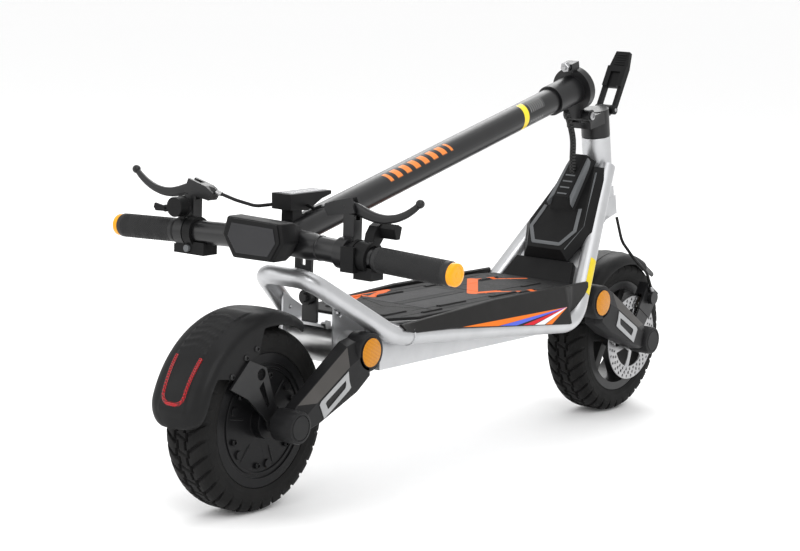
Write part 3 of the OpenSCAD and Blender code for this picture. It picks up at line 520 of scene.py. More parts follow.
COPPER = Brushed("stator_laminations", "steel", (0.3, 0.17, 0.08), (0.2, 0.2, 0.2), 0.4, 0.08, 0.8, 0.0,
                 900.0, 0.0002)
PAD = Finish("pad_compound", "brake_pad", (0.12, 0.09, 0.06), (0.2, 0.16, 0.1), 0.8, 0.06, 0.1, 0.0, 900.0,
             0.0002)


def unit(v: np.ndarray) -> np.ndarray:
    """Vectors of length one along the last axis."""
    return v / np.linalg.norm(v, axis=-1, keepdims=True)


def rounded(points: Sequence[Sequence[float]], radii: Sequence[float], count: int = 14) -> np.ndarray:
    """Straight path with its inner corners turned into arcs between their tangent points.

    Args:
        points: the path's ends and corners.
        radii: each corner's radius.
        count: points on each arc.

    Returns:
        The path's points.
    """
    p = np.array(points, float)
    out = [p[:1]]
    for i, radius in enumerate(radii):
        a, b, c = p[i], p[i + 1], p[i + 2]
        u, v = unit(a - b), unit(c - b)
        half = math.acos(float(np.clip(u @ v, -1, 1))) / 2
        centre = b + unit(u + v) * radius / math.sin(half)
        start, end = b + u * radius / math.tan(half) - centre, b + v * radius / math.tan(half) - centre
        turn = math.pi - 2 * half
        t = np.linspace(0, 1, count)[:, None]
        out.append(centre + (np.sin(turn * (1 - t)) * start + np.sin(turn * t) * end) / math.sin(turn))
    out.append(p[-1:])
    return np.vstack(out)


def resampled(path: np.ndarray, step: float) -> np.ndarray:
    """Adds points to a path.

    Args:
        path: its points.
        step: the most that two may lie apart, or nearly.

    Returns:
        The same path with its own points and those between.
    """
    gaps = np.linalg.norm(np.diff(path, axis=0), axis=1)
    along = np.concatenate([[0], np.cumsum(gaps)])
    places = np.linspace(0, along[-1], max(2, int(along[-1] / step)))
    places = np.unique(np.concatenate([places, along]))
    places = places[np.concatenate([[True], np.diff(places) > 1e-4])]
    return np.stack([np.interp(places, along, path[:, k]) for k in range(3)], axis=1)


def carried(path: np.ndarray, section: np.ndarray, up: Sequence[float]) -> np.ndarray:
    """Places a section at every point of a path.

    Args:
        path: n points.
        section: n by m by 2 offsets, sideways and upwards, across the path.
        up: a direction never parallel to the path.

    Returns:
        n by m by 3 places: the point plus sideways and upward offsets in the plane across the path.
    """
    ends = np.vstack([path[:1], path[:-1]]), np.vstack([path[1:], path[-1:]])
    along = unit(ends[1] - ends[0])
    side = unit(np.cross(np.broadcast_to(np.array(up, float), along.shape), along))
    rise = np.cross(along, side)
    return path[:, None] + section[..., :1] * side[:, None] + section[..., 1:] * rise[:, None]


def grid_faces(rows: int, columns: int, wrap_rows: bool, wrap_columns: bool) -> np.ndarray:
    """Quads of a grid of points.

    Args:
        rows: points one way.
        columns: points the other way, which are numbered first.
        wrap_rows: whether the last row joins the first.
        wrap_columns: whether the last column joins the first.

    Returns:
        Four corner numbers for each quad.
    """
    i = np.arange(rows if wrap_rows else rows - 1)[:, None]
    j = np.arange(columns if wrap_columns else columns - 1)[None]
    i1, j1 = (i + 1) % rows, (j + 1) % columns
    return np.stack([i * columns + j, i1 * columns + j, i1 * columns + j1, i * columns + j1],
                    -1).reshape(-1, 4)


def capped(rows: int, columns: int) -> list[list[int]]:
    """Faces of a grid closed round its columns, with a flat face at each end.

    Args:
        rows: points along the grid.
        columns: points round it.

    Returns:
        Corner numbers of each face.
    """
    last = (rows - 1) * columns
    ends = [list(range(columns))[::-1], list(range(last, last + columns))]
    return grid_faces(rows, columns, False, True).tolist() + ends


def on_neck(v: np.ndarray) -> np.ndarray:
    """Takes places on the neck to the model's frame.

    Args:
        v: distances along, across and off the plane of the neck's two tubes.

    Returns:
        The same places as x, y and z.
    """
    slope = math.atan2(227, 189)
    along = np.array([math.cos(slope), 0, math.sin(slope)])
    off = np.array([-math.sin(slope), 0, math.cos(slope)])
    return np.array((215.0, 0.0, 187.0)) + v[:, :1] * along + v[:, 1:2] * np.array([0, 1, 0]) + v[:, 2:] * off


class Workshop:
    """Makes mesh pieces, dresses them and hangs them on bodies."""

    def piece(self, name: str, vertices: np.ndarray, faces: Sequence[Sequence[int]], finish: Finish,
              body: str,
              smooth: float = 40.0, bevel: float = 0.0, replaces: Sequence[str] = ()) -> bpy.types.Object:
        """Makes one piece from places in millimetres.

        Args:
            name: the piece's name.
            vertices: places.
            faces: corner numbers of each face.
            finish: its finish.
            body: the body it rides on.
            smooth: edges sharper than this angle stay sharp.
            bevel: width of the rounded edges, or nought.
            replaces: CAD nodes it stands for.

        Returns:
            The object.
        """
        mesh = bpy.data.meshes.new(name)
        mesh.from_pydata((np.asarray(vertices, float).reshape(-1, 3) * MM).tolist(), [],
                         [list(map(int, f)) for f in faces])
        return self.dress(name, mesh, finish, body, smooth, bevel, replaces)

    def dress(self, name: str, mesh: bpy.types.Mesh, finish: Finish, body: str, smooth: float, bevel: float,
              replaces: Sequence[str]) -> bpy.types.Object:
        """Cleans a mesh, gives it its finish and rounded edges, and hangs it on its body.

        Args:
            name: the piece's name.
            mesh: its mesh, in metres.
            finish, body, smooth, bevel, replaces: as for piece.

        Returns:
            The object.
        """
        tool = bmesh.new()
        tool.from_mesh(mesh)
        bmesh.ops.remove_doubles(tool, verts=tool.verts, dist=MERGE)
        bmesh.ops.recalc_face_normals(tool, faces=tool.faces)
        tool.to_mesh(mesh)
        tool.free()
        mesh.polygons.foreach_set("use_smooth", np.ones(len(mesh.polygons), bool))
        mesh.set_sharp_from_angle(angle=math.radians(smooth))
        obj = bpy.data.objects.new(name, mesh)
        bpy.context.scene.collection.objects.link(obj)
        mesh.materials.append(finish.build())
        if bevel:
            rounding = obj.modifiers.new("rounded_edges", "BEVEL")
            rounding.width = bevel * MM
            rounding.segments = 3
            rounding.limit_method = "ANGLE"
            rounding.angle_limit = math.radians(32)
            rounding.use_clamp_overlap = True
        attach(obj, body)
        if replaces:
            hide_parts(*replaces)
        log.info("%s on %s", name, body)
        return obj

    def refined(self, node: str, finish: Finish, bevel: float = 0.6) -> bpy.types.Object:
        """A merged copy of a CAD node with flat faces joined and its edges rounded.

        Args:
            node: the CAD node, which the piece replaces.
            finish: its finish.
            bevel: width of the rounded edges, or nought.

        Returns:
            The object.
        """
        mesh = frame["nodes"][node].data.copy()
        mesh.materials.clear()
        tool = bmesh.new()
        tool.from_mesh(mesh)
        bmesh.ops.remove_doubles(tool, verts=tool.verts, dist=2 * MERGE)
        bmesh.ops.dissolve_limit(tool, angle_limit=math.radians(0.8), verts=tool.verts, edges=tool.edges)
        tool.to_mesh(mesh)
        tool.free()
        return self.dress(node + "_finished", mesh, finish, frame["nodes"][node]["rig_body"], 34.0, bevel,
                          (node,))

    def tube(self, name: str, path: np.ndarray, radius: Union[float, np.ndarray], up: Sequence[float],
             finish: Finish,
             body: str, sides: int = 40, replaces: Sequence[str] = ()) -> bpy.types.Object:
        """Round tube: a circle carried along a path, with flat ends.

        Args:
            name: the piece's name.
            path: points of its middle line.
            radius: its radius, or one for each point.
            up: a direction never parallel to the path.
            finish, body, replaces: as for piece.
            sides: points round the circle.

        Returns:
            The object.
        """
        turn = np.linspace(0, 2 * np.pi, sides, endpoint=False)
        r = np.broadcast_to(np.asarray(radius, float), (len(path),))[:, None]
        section = np.stack([r * np.cos(turn), r * np.sin(turn)], -1)
        places = carried(path, section, up).reshape(-1, 3)
        return self.piece(name, places, capped(len(path), sides), finish, body, 40.0, 0.0, replaces)

    def turned(self, name: str, profile: Sequence[Sequence[float]], centre: Sequence[float],
               axis: Sequence[float],
               finish: Finish, body: str, count: int = 64, smooth: float = 35.0,
               replaces: Sequence[str] = ()) -> bpy.types.Object:
        """Surface of revolution with flat ends.

        Args:
            name: the piece's name.
            profile: distances along the axis and radii.
            centre: where the axis starts.
            axis: its direction.
            finish, body, smooth, replaces: as for piece.
            count: points round the axis.

        Returns:
            The object.
        """
        prof = np.array(profile, float)
        way = unit(np.array(axis, float))
        other = unit(np.cross(way, (0.31, 0.2, 0.93)))
        third = np.cross(way, other)
        turn = np.linspace(0, 2 * np.pi, count, endpoint=False)
        ring = np.cos(turn)[:, None] * other + np.sin(turn)[:, None] * third
        places = np.array(centre, float) + prof[:, None, :1] * way + prof[:, None, 1:] * ring[None]
        return self.piece(name, places, capped(len(prof), count), finish, body, smooth, 0.0, replaces)

    def plate(self, name: str, outline: Sequence[Sequence[float]], low: float, high: float,
              place: Callable[[np.ndarray], np.ndarray],
              finish: Finish, body: str, bevel: float = 0.4,
              replaces: Sequence[str] = ()) -> bpy.types.Object:
        """Flat outline made thick, then placed by a function.

        Args:
            name: the piece's name.
            outline: its corners.
            low, high: the heights of its two faces.
            place: takes corners and heights to the model's frame.
            finish, body, bevel, replaces: as for piece.

        Returns:
            The object.
        """
        flat = np.array(outline, float)
        n = len(flat)
        both = np.vstack([np.c_[flat, np.full(n, low)], np.c_[flat, np.full(n, high)]])
        faces = [list(range(n))[::-1], list(range(n, 2 * n))]
        faces += [[i, (i + 1) % n, n + (i + 1) % n, n + i] for i in range(n)]
        return self.piece(name, place(both), faces, finish, body, 34.0, bevel, replaces)

    def bolt(self, name: str, centre: Sequence[float], axis: Sequence[float], radius: float, finish: Finish,
             body: str,
             height: float = 3.0) -> bpy.types.Object:
        """Button-headed screw: a domed profile with a sunk round socket.

        Args:
            name: the piece's name.
            centre: the middle of its seat.
            axis: the way its head faces.
            radius: its head's radius.
            finish, body: as for piece.
            height: its head's height.

        Returns:
            The object.
        """
        r = radius
        profile = [(0, r), (height * 0.45, r), (height * 0.8, r * 0.82), (height, r * 0.55),
                   (height, r * 0.5),
                   (height * 0.4, r * 0.45), (height * 0.4, SMALL)]
        return self.turned(name, profile, centre, axis, finish, body, 24, 30.0)


SHOP = Workshop()


@dataclass
class Wheels:
    """Tyres, hub covers and wheel details."""

    rear: tuple[float, float] = REAR_AXLE
    front: tuple[float, float] = FRONT_AXLE
    radius: float = 127.3
    half: float = 34.8
    bead: float = 84.5
    groove: float = 3.6
    around: int = 720
    cover_y: float = 29.4
    screw_y: float = 31.2
    screw_ring: float = 62.0
    disc_y: float = -54.5

    def tyre(self, name: str, centre: tuple[float, float], node: str, body: str) -> None:
        """Tyre with a blocked tread.

        The section is a closed curve of radius against breadth. Cross grooves slant over each shoulder and a
        pair of zigzag grooves runs round the crown. Both sink the surface towards the axle by up to the
        groove's depth.

        Args:
            name: the piece's name.
            centre: the wheel's x and z.
            node: the CAD node it replaces.
            body: the body it rides on.
        """
        r, w = self.radius, self.half
        knots = np.array([[self.bead, -28.4], [92.3, -28.4], [92.8, -31.8], [97, -33.2], [104, -34.2],
                          [112, -34.8], [118, -33.6],
                          [122, -30.4], [124.8, -26], [126.5, -21], [r, -16], [r, 0], [r, 16], [126.5, 21],
                          [124.8, 26],
                          [122, 30.4], [118, 33.6], [112, 34.8], [104, 34.2], [97, 33.2], [92.8, 31.8],
                          [92.3, 28.4], [self.bead, 28.4]])
        gaps = np.concatenate([[0], np.cumsum(np.linalg.norm(np.diff(knots, axis=0), axis=1))])
        s = np.unique(np.concatenate([np.linspace(0, gaps[-1], 86), gaps]))
        rad, wide = np.interp(s, gaps, knots[:, 0]), np.interp(s, gaps, knots[:, 1])
        turn = np.linspace(0, 2 * np.pi, self.around, endpoint=False)[:, None]
        blocks = 34
        skew = np.abs(wide)[None] * 0.006
        phase = turn * blocks / (2 * np.pi) + skew * blocks / 6 + np.where(wide > 0, 0.5, 0.0)[None]
        cross = np.clip((0.12 - np.abs((phase % 1) - 0.5)) / 0.05, 0, 1)
        shoulder = np.clip((np.abs(wide) - 9.5) / 1.5, 0, 1) * np.clip((rad - 108) / 3, 0, 1)
        zig = 8.5 + 1.8 * np.sign(np.sin(turn * blocks))
        ring = np.clip((1.9 - np.abs(np.abs(wide)[None] - zig)) / 0.8, 0, 1) * np.clip((rad - 120) / 3, 0, 1)
        slot = (turn * blocks / (2 * np.pi) + 0.25 + wide[None] * 0.02) % 1
        centre_cut = np.clip((0.1 - np.abs(slot - 0.5)) / 0.05, 0, 1)
        crown = np.clip((8.0 - np.abs(wide)) / 1.0, 0, 1)
        centre_cut = centre_cut * crown * 0.6 * np.clip((rad - 120) / 3, 0, 1)
        sunk = np.maximum(np.maximum(cross * shoulder, ring), centre_cut) * self.groove
        reach = rad[None] - sunk
        rib = np.where((rad > 99) & (rad < 101), 0.5, 0.0)
        breadth = wide[None] + np.sign(wide)[None] * rib + 0 * turn
        places = np.stack([centre[0] + reach * np.cos(turn), breadth, centre[1] + reach * np.sin(turn)], -1)
        faces = grid_faces(self.around, len(s), True, True)
        SHOP.piece(name, places, faces, RUBBER, body, 32.0, 0.0, (node,))

    def motor_cover(self) -> None:
        """Right and left cover dress: radial ribs, a raised ring and socket screws."""
        for side in Side:
            y = side.value * self.screw_y
            for k in range(6):
                a = math.radians(20 + 60 * k)
                at = (self.rear[0] + self.screw_ring * math.cos(a), y,
                      self.rear[1] + self.screw_ring * math.sin(a))
                SHOP.bolt(f"cover_screw_{side.tag}_{k}", at, (0, side.value, 0), 4.4, SHADED_HUB, "rear_wheel", 3.4)
                a += math.radians(30)
                out = np.linspace(38, 68, 12)
                middle = np.full(12, side.value * self.cover_y)
                path = np.c_[self.rear[0] + out * math.cos(a), middle, self.rear[1] + out * math.sin(a)]
                radius = np.interp(out, [38, 44, 62, 68], [0.5, 1.6, 1.2, 0.4])
                SHOP.tube(f"cover_rib_{side.tag}_{k}", path, radius, (0, 1, 0), SHADED_HUB, "rear_wheel", 12)
            ring = [(0, 74.5), (1.6, 74.0), (1.9, 72.5), (1.6, 71.0), (0, 70.5)]
            SHOP.turned(f"cover_rim_{side.tag}", ring, (self.rear[0], side.value * self.cover_y,
                                                        self.rear[1]), (0, side.value, 0),
                        SHADED_HUB, "rear_wheel", 96)

    def disc(self) -> None:
        """Brake disc on a grid of radius and turn, made thick afterwards.

        Cells whose middle lies in one of three rows of round holes, or between the slanting arms of the
        carrier, are left out.
        """
        rows, columns = 68, 760
        r = np.linspace(15, 70, rows)[:, None]
        t = np.linspace(0, 2 * np.pi, columns, endpoint=False)[None]
        places = np.stack([self.front[0] + r * np.cos(t), np.full((rows, columns), self.disc_y),
                           self.front[1] + r * np.sin(t)], -1)
        faces = grid_faces(rows, columns, False, True).reshape(rows - 1, columns, 4)
        mid_r, mid_t = (r[:-1] + r[1:]) / 2, t + np.pi / columns
        keep = np.ones((rows - 1, columns), bool)
        for k, (row, size) in enumerate(((53.5, 2.3), (59.5, 2.5), (65.5, 2.3))):
            phase = ((mid_t * 30 / (2 * np.pi) + k / 3.0) % 1 - 0.5) * 2 * np.pi * row / 30
            keep &= (mid_r - row) ** 2 + phase ** 2 > size ** 2
        lean = (mid_t * 6 / (2 * np.pi) + (mid_r - 15) * 0.006) % 1 - 0.5
        arm = 0.1 + 0.0008 * np.abs(mid_r - 34) + (22 / mid_r - 0.45) * 0.12
        keep &= (mid_r > 48.5) | (mid_r < 22) | (np.abs(lean) < arm)
        flat = SHOP.piece("brake_disc_plate", places, faces[keep], STEEL, "front_wheel", 30.0, 0.0,
                          ("brake_disc",))
        thick = flat.modifiers.new("thickness", "SOLIDIFY")
        thick.thickness = 2.0 * MM
        thick.offset = 0.0

    def build(self) -> None:
        """Builds both wheels' pieces."""
        self.disc()
        self.tyre("rear_tread", self.rear, "rear_tyre", "rear_wheel")
        self.tyre("front_tread", self.front, "front_tyre", "front_wheel")
        self.motor_cover()
        for node, finish in (("front_rim", BLACK), ("hub_motor", SHADED_HUB), ("front_bearings", STEEL)):
            SHOP.refined(node, finish, 0.5)


@dataclass
class Arms:
    """The four swing arms with facets, badges, caps and reflectors."""

    rear_pivot: tuple[float, float] = (-290.0, 208.5)
    front_pivot: tuple[float, float] = (304.0, 208.5)
    inner: float = 64.0
    outer: float = 92.0
    axle: tuple[float, float] = (-153.0, -81.0)
    back: Outline = ((3, 24), (-38, 17), (-144, -55), (-170, -80), (-153, -101), (-107, -88), (-26, -57),
                     (7, -36))
    mid: Outline = ((2, 22), (-42, 12), (-144, -54), (-168, -79), (-153, -99), (-107, -86), (-27, -55),
                    (5, -35))
    face: Outline = ((-4, 4), (-46, -14), (-114, -54), (-148, -76), (-146, -92), (-106, -82), (-28, -51),
                     (-1, -32))

    def arm(self, name: str, pivot: tuple[float, float], flip: float, side: Side, body: str) -> None:
        """One arm: three outlines joined by facets, a round head and an axle boss with a cap.

        Args:
            name: the start of its pieces' names.
            pivot: the arm's pivot, x and z.
            flip: 1 where the arm runs back from its pivot, -1 where it runs forward.
            side: the side it is on.
            body: the body it rides on.
        """
        levels = [(self.back, self.inner), (self.mid, self.outer - 9), (self.face, self.outer)]
        rings = [np.array([(pivot[0] + flip * x, side.value * y, pivot[1] + z) for x, z in ring]) for ring,
                 y in levels]
        n = len(self.back)
        faces = [list(range(n)), list(range(2 * n, 3 * n))]
        faces += [[k * n + i, k * n + (i + 1) % n, (k + 1) * n + (i + 1) % n, (k + 1) * n + i]
                  for k in range(2) for i in range(n)]
        body_piece = SHOP.piece(name, np.vstack(rings), faces, ARM, body, 20.0, 1.2)
        # Painted light: the facet nearest the target point gets the lighter copy of the arm paint.
        body_piece.data.materials.append(LIT_FACET.build())
        target = np.array([pivot[0] - flip * 85, side.value * 88, pivot[1] - 24]) * MM
        nearest = min(body_piece.data.polygons, key=lambda f: (f.center - Vector(target)).length)
        nearest.material_index = 1
        s = side.value
        head = [(0, 27.6), (25.6, 27.6), (27.6, 26.2), (28.0, 25.0), (28.0, 21.6), (26.6, 21.4),
                (26.6, SMALL)]
        SHOP.turned(name + "_head", head, (pivot[0], s * self.inner, pivot[1]), (0, s, 0), ARM, body, 64)
        axle = (pivot[0] + flip * self.axle[0], s * 62.2, pivot[1] + self.axle[1])
        boss = [(0, 22.6), (32.0, 22.6), (34.6, 21.4), (35.4, 19.6), (35.4, 17.6), (34.2, 17.2),
                (34.2, SMALL)]
        SHOP.turned(name + "_boss", boss, axle, (0, s, 0), ARM, body, 64)
        cap = [(33.8, 16.6), (35.2, 16.6), (35.8, 15.8), (35.8, SMALL)]
        SHOP.turned(name + "_cap", cap, axle, (0, s, 0), ARM, body, 48)
        self.badge(name + "_badge", pivot, flip, side, body)
        lens = [(28.0, 21.0), (29.0, 20.6), (29.5, 19.6), (29.5, SMALL)]
        rim = [(26.4, 21.5), (28.6, 21.5), (29.2, 21.1), (29.2, 20.2), (26.4, 20.2)]
        SHOP.turned(name + "_reflector", lens, (pivot[0], s * self.inner, pivot[1]), (0, s, 0), AMBER, body,
                    48)
        SHOP.turned(name + "_reflector_rim", rim, (pivot[0], s * self.inner, pivot[1]), (0, s, 0), PLASTIC,
                    body, 48)

    def badge(self, name: str, pivot: tuple[float, float], flip: float, side: Side, body: str) -> None:
        """Notched silver frame round a dark field on the outer face.

        Args:
            name: the piece's name.
            pivot, flip, side, body: as for arm.
        """
        outer = [(-49.8, -19.5), (-47.6, -33.0), (-43.5, -42.5), (-47.5, -46.0), (-99.4, -77.3),
                 (-104.8, -66.0), (-109.4, -57.0), (-106.0, -52.5)]
        inner = [(-55.0, -31.0), (-54.0, -36.0), (-55.0, -41.0), (-57.0, -43.0), (-91.5, -65.5),
                 (-94.5, -61.0), (-97.0, -56.5), (-95.0, -54.0)]
        s = side.value
        n = len(outer)
        corners = [(x, z, self.outer + proud) for proud in (0.2, 1.3) for x, z in outer + inner]
        places = np.array([(pivot[0] + flip * x, s * y, pivot[1] + z) for x, z, y in corners])
        faces = []
        for i in range(n):
            j = (i + 1) % n
            faces += [[i, j, n + j, n + i], [2 * n + i, 2 * n + j, 3 * n + j, 3 * n + i]]
            faces += [[i, j, 2 * n + j, 2 * n + i], [n + i, n + j, 3 * n + j, 3 * n + i]]
        SHOP.piece(name, places, faces, BADGE, body, 30.0, 0.3)

    def build(self) -> None:
        """Builds all four arms."""
        for side in Side:
            tag = side.tag
            self.arm("rear_arm_" + tag, self.rear_pivot, 1.0, side, "rear_arm")
            self.arm("front_arm_" + tag, self.front_pivot, -1.0, side, "front_arm")
        for end in ("rear", "front"):
            for node in (end + "_arms", end + "_reflectors"):
                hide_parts(node)
        for node in ("rear_shafts", "front_shafts"):
            SHOP.refined(node, STEEL, 0.5)
        SHOP.refined("fender_stays", BLACK, 0.6)
        SHOP.refined("motor_stator", COPPER, 0.5)
        SHOP.refined("brake_caliper", BLACK, 2.2)
        SHOP.refined("brake_pads", PAD, 0.3)


@dataclass
class FrameTubes:
    """Welded tube frame, drum, gussets and tray."""

    tube_r: float = 13.5
    join: tuple[float, float, float] = (-207.0, -90.6, 222.0)
    foot: tuple[float, float, float] = (215.0, -98.0, 187.0)
    neck: tuple[float, float, float] = (404.0, -25.0, 414.0)
    high: tuple[float, float, float] = (-368.0, -41.0, 312.0)

    def build(self) -> None:
        """Builds the loop, both rails, their web, weld beads and the metal parts near them."""
        join, foot = np.array(self.join), np.array(self.foot)
        low = join - 0.073 * (foot - join)
        flip = np.array([1, -1, 1])
        loop = rounded([join, low, self.high, np.array(self.high) * flip, low * flip, join * flip],
                       [60, 30, 30, 60])
        up = unit(np.array([89.0, 0, 130.0]))
        SHOP.tube("rear_loop_tube", resampled(loop, 8), self.tube_r, up, SILVER, "frame", 48, ("rear_loop",))
        rail = rounded([join, foot, self.neck], [70])
        left, right = resampled(rail * flip, 8), resampled(rail, 8)
        SHOP.tube("rail_tube_left", left, self.tube_r, (0, 1, 0), SILVER, "frame", 48)
        SHOP.tube("rail_tube_right", right, self.tube_r, (0, 1, 0), SILVER, "frame", 48, ("side_rails",))
        SHOP.plate("neck_web", [(45, -73), (185, -36), (185, 36), (45, 73)], -1.5, 1.5, on_neck, SILVER,
                   "frame", 0.5)
        self.band("reflective_band", right)
        for y in (-1, 1):
            bead = np.array(self.join) * (1, -y, 1)
            self.bead(f"loop_weld_{y + 1}", bead, unit(foot - join) * (1, -y, 1), self.tube_r + 0.2)
        for node, finish, bevel in (("head_tube", SILVER, 0.8), ("rear_gussets", SILVER, 0.5),
                                    ("rear_drum", BARE, 1.0),
                                    ("battery_tray", SILVER, 2.5), ("battery_pack", BATTERY, 2.0),
                                    ("headset_bearings", STEEL, 0.4),
                                    ("latch_keeper", BLACK, 0.8), ("stand_bracket", BLACK, 1.0),
                                    ("kickstand", BLACK, 1.0),
                                    ("motor_controller", BARE, 1.0), ("deck_plate", BARE, 0.4)):
            SHOP.refined(node, finish, bevel)
        for side in Side:
            for k, (x, z) in enumerate(((-330.0, 246.0), (-300.0, 238.0))):
                stud = [(0, 6.5), (4, 6.5), (4.6, 5.6), (4.6, 3.4), (11, 3.2), (11.6, 2.6), (11.6, SMALL)]
                at = (x, side.value * 47.0, z)
                SHOP.turned(f"drum_stud_{k}_{side.tag}", stud, at, (0, -side.value, 0), STEEL, "frame", 6,
                            20.0)
        for k, x in enumerate((-312.0, -268.0)):
            for side in Side:
                at = (x, side.value * 47.4, 262.0 - 14 * k)
                SHOP.bolt(f"gusset_screw_{k}_{side.tag}", at, (0, side.value, 0), 5.0, STEEL, "frame", 4.0)

    def band(self, name: str, rail: np.ndarray) -> None:
        """Reflective band: a thin skin over the outer quarter of the right front tube.

        Args:
            name: the piece's name.
            rail: points of the tube's middle line.
        """
        part = rail[(rail[:, 2] > 222) & (rail[:, 2] < 276) & (rail[:, 0] > 200)]
        turn = np.linspace(np.radians(226), np.radians(282), 12)
        skin = [np.stack([r * np.cos(turn), r * np.sin(turn)], -1)
                for r in (self.tube_r + 0.5, self.tube_r + 0.1)]
        ring = np.vstack([skin[0], skin[1][::-1]])
        section = np.broadcast_to(ring, (len(part), *ring.shape))
        places = carried(part, section, (0, 1, 0)).reshape(-1, 3)
        SHOP.piece(name, places, capped(len(part), len(ring)), YELLOW, "frame")

    def bead(self, name: str, centre: np.ndarray, axis: np.ndarray, radius: float) -> None:
        """Weld bead: a small round section swung round a tube, which swells and shrinks in ripples.

        Args:
            name: the piece's name.
            centre: the middle of the tube there.
            axis: the tube's direction.
            radius: the tube's radius.
        """
        turn = np.linspace(0, 2 * np.pi, 96, endpoint=False)[:, None]
        small = np.linspace(0, 2 * np.pi, 10, endpoint=False)[None]
        size = 1.5 + 0.35 * np.sin(turn * 26)
        other = unit(np.cross(axis, (0, 0, 1.0)))
        third = np.cross(axis, other)
        ring = np.cos(turn)[..., None] * other + np.sin(turn)[..., None] * third
        out = ring * (radius + size * np.cos(small))[..., None]
        places = centre + out + (size * np.sin(small))[..., None] * axis
        SHOP.piece(name, places, grid_faces(96, 10, True, True), SILVER, "frame", 60.0)


@dataclass
class Deck:
    """Deck mat, side fairings and neck trim."""

    back: float = -243.0
    front: float = 237.0
    half: float = 89.6
    base: float = 241.0
    top: float = 245.0

    def mat(self) -> None:
        """Mat: height over a grid of x and y.

        Raised blocks and grooves are added to a flat top as products of smooth steps along x and y. The
        plan's half width narrows towards both ends, and the last rows drop to the base to close the edge.
        """
        x = np.linspace(self.back, self.front, 300)[:, None]
        v = np.linspace(-1, 1, 130)[None]
        half = np.interp(x, [self.back, self.back + 62, self.front - 40, self.front],
                         [60, self.half, self.half, 74.0])
        half = half - 0 * v
        y = half * v
        edge = np.clip((1 - np.abs(v)) / 0.02, 0, 1) * np.clip((x - self.back) / 2, 0,
                                                               1) * np.clip((self.front - x) / 2, 0, 1)

        def bump(cx: float, cy: float, lx: float, ly: float, lean: float = 0.35) -> np.ndarray:
            """Smooth-sided block with slanted ends, on both halves of the mat.

            Args:
                cx, cy: its middle.
                lx, ly: its length and breadth.
                lean: how far its ends slant.

            Returns:
                Its height over the grid, from nought to one.
            """
            u = x - cx - lean * (np.abs(y) - cy)
            return np.clip((lx / 2 - np.abs(u)) / 1.5, 0,
                           1) * np.clip((ly / 2 - np.abs(np.abs(y) - cy)) / 1.2, 0, 1)

        rise = np.zeros_like(y)
        for cx, cy, lx, ly in ((-190, 50, 54, 10), (-60, 58, 66, 8), (66, 62, 66, 8), (172, 40, 50, 7),
                               (120, 70, 40, 6), (-130, 74, 48, 6)):
            rise = np.maximum(rise, 2.2 * bump(cx, cy, lx, ly))
        groove = np.zeros_like(y)
        for cy, x0, x1 in ((54.0, -150, 44), (8.0, -120, 40), (34.0, 60, 200), (72.0, -200, 190)):
            line = np.clip((0.9 - np.abs(np.abs(y) - cy)) / 0.5, 0, 1) * (x > x0) * (x < x1)
            groove = np.maximum(groove, line)
        for cx in (-150.0, -118.0, 42.0, 60.0, 200.0):
            line = np.clip((0.9 - np.abs(x - cx - 0.5 * np.abs(y) * (cx < -140))) / 0.5, 0,
                           1) * (np.abs(y) < 66)
            groove = np.maximum(groove, line)
        z = self.top + rise - 0.9 * groove
        z = self.base + 0.1 + (z - self.base - 0.1) * edge
        top = np.stack([x + 0 * y, y, z], -1)
        low = np.stack([x + 0 * y, y, np.full_like(y, self.base)], -1)
        n, m = y.shape
        faces = np.vstack([grid_faces(n, m, False, False), grid_faces(n, m, False, False)[:, ::-1] + n * m])
        SHOP.piece("deck_mat_surface", np.concatenate([top.reshape(-1, 3), low.reshape(-1, 3)]), faces,
                   DECK, "frame", 28.0, 0.0, ("deck_mat",))

    def fairing(self, side: Side) -> None:
        """Side fairing: a five-cornered section carried along x.

        Its top edge rises from the deck's level towards the front, and its face slopes outwards down to a
        lower edge that lies over the rail and turns up along the rail's bend.

        Args:
            side: the side it is on.
        """
        x = np.linspace(-228, 250, 90)
        top = np.interp(x, [-228, -3, 250], [240.5, 251.0, 250.0])
        low = np.interp(x, [-228, -205, -120, 182, 196, 212, 228, 250],
                        [233, 226.5, 222.5, 191.2, 194, 200, 212, 240])
        out = 105.0 + 0.01754 * (x + 207) - 15.0 * np.clip((x - 186) / 16, 0, 1)
        section = np.stack([np.stack([np.full_like(x, 90.5), top - 2.2], -1),
                            np.stack([np.full_like(x, 94.0), top], -1),
                            np.stack([np.minimum(97.5, out - 0.5), top - 1.6], -1),
                            np.stack([out, low + 0.8], -1),
                            np.stack([out - 2.5, low - 0.6], -1),
                            np.stack([np.full_like(x, 90.5), np.maximum(low + 4, 224)], -1)], 1)
        section[..., 1] = np.minimum(section[..., 1], top[:, None])
        places = np.stack([np.broadcast_to(x[:, None], section.shape[:2]), side.value * section[..., 0],
                           section[..., 1]], -1)
        faces = grid_faces(90, 6, False, True).tolist() + [list(range(6)), list(range(89 * 6, 90 * 6))]
        SHOP.piece(f"fairing_{side.tag}", places, faces, FAIRING, "frame", 30.0, 0.8, ("side_fairings",))

    def build(self) -> None:
        """Builds the mat, fairings and trims."""
        self.mat()
        for side in Side:
            self.fairing(side)
        SHOP.refined("neck_panel", PLASTIC, 1.2)


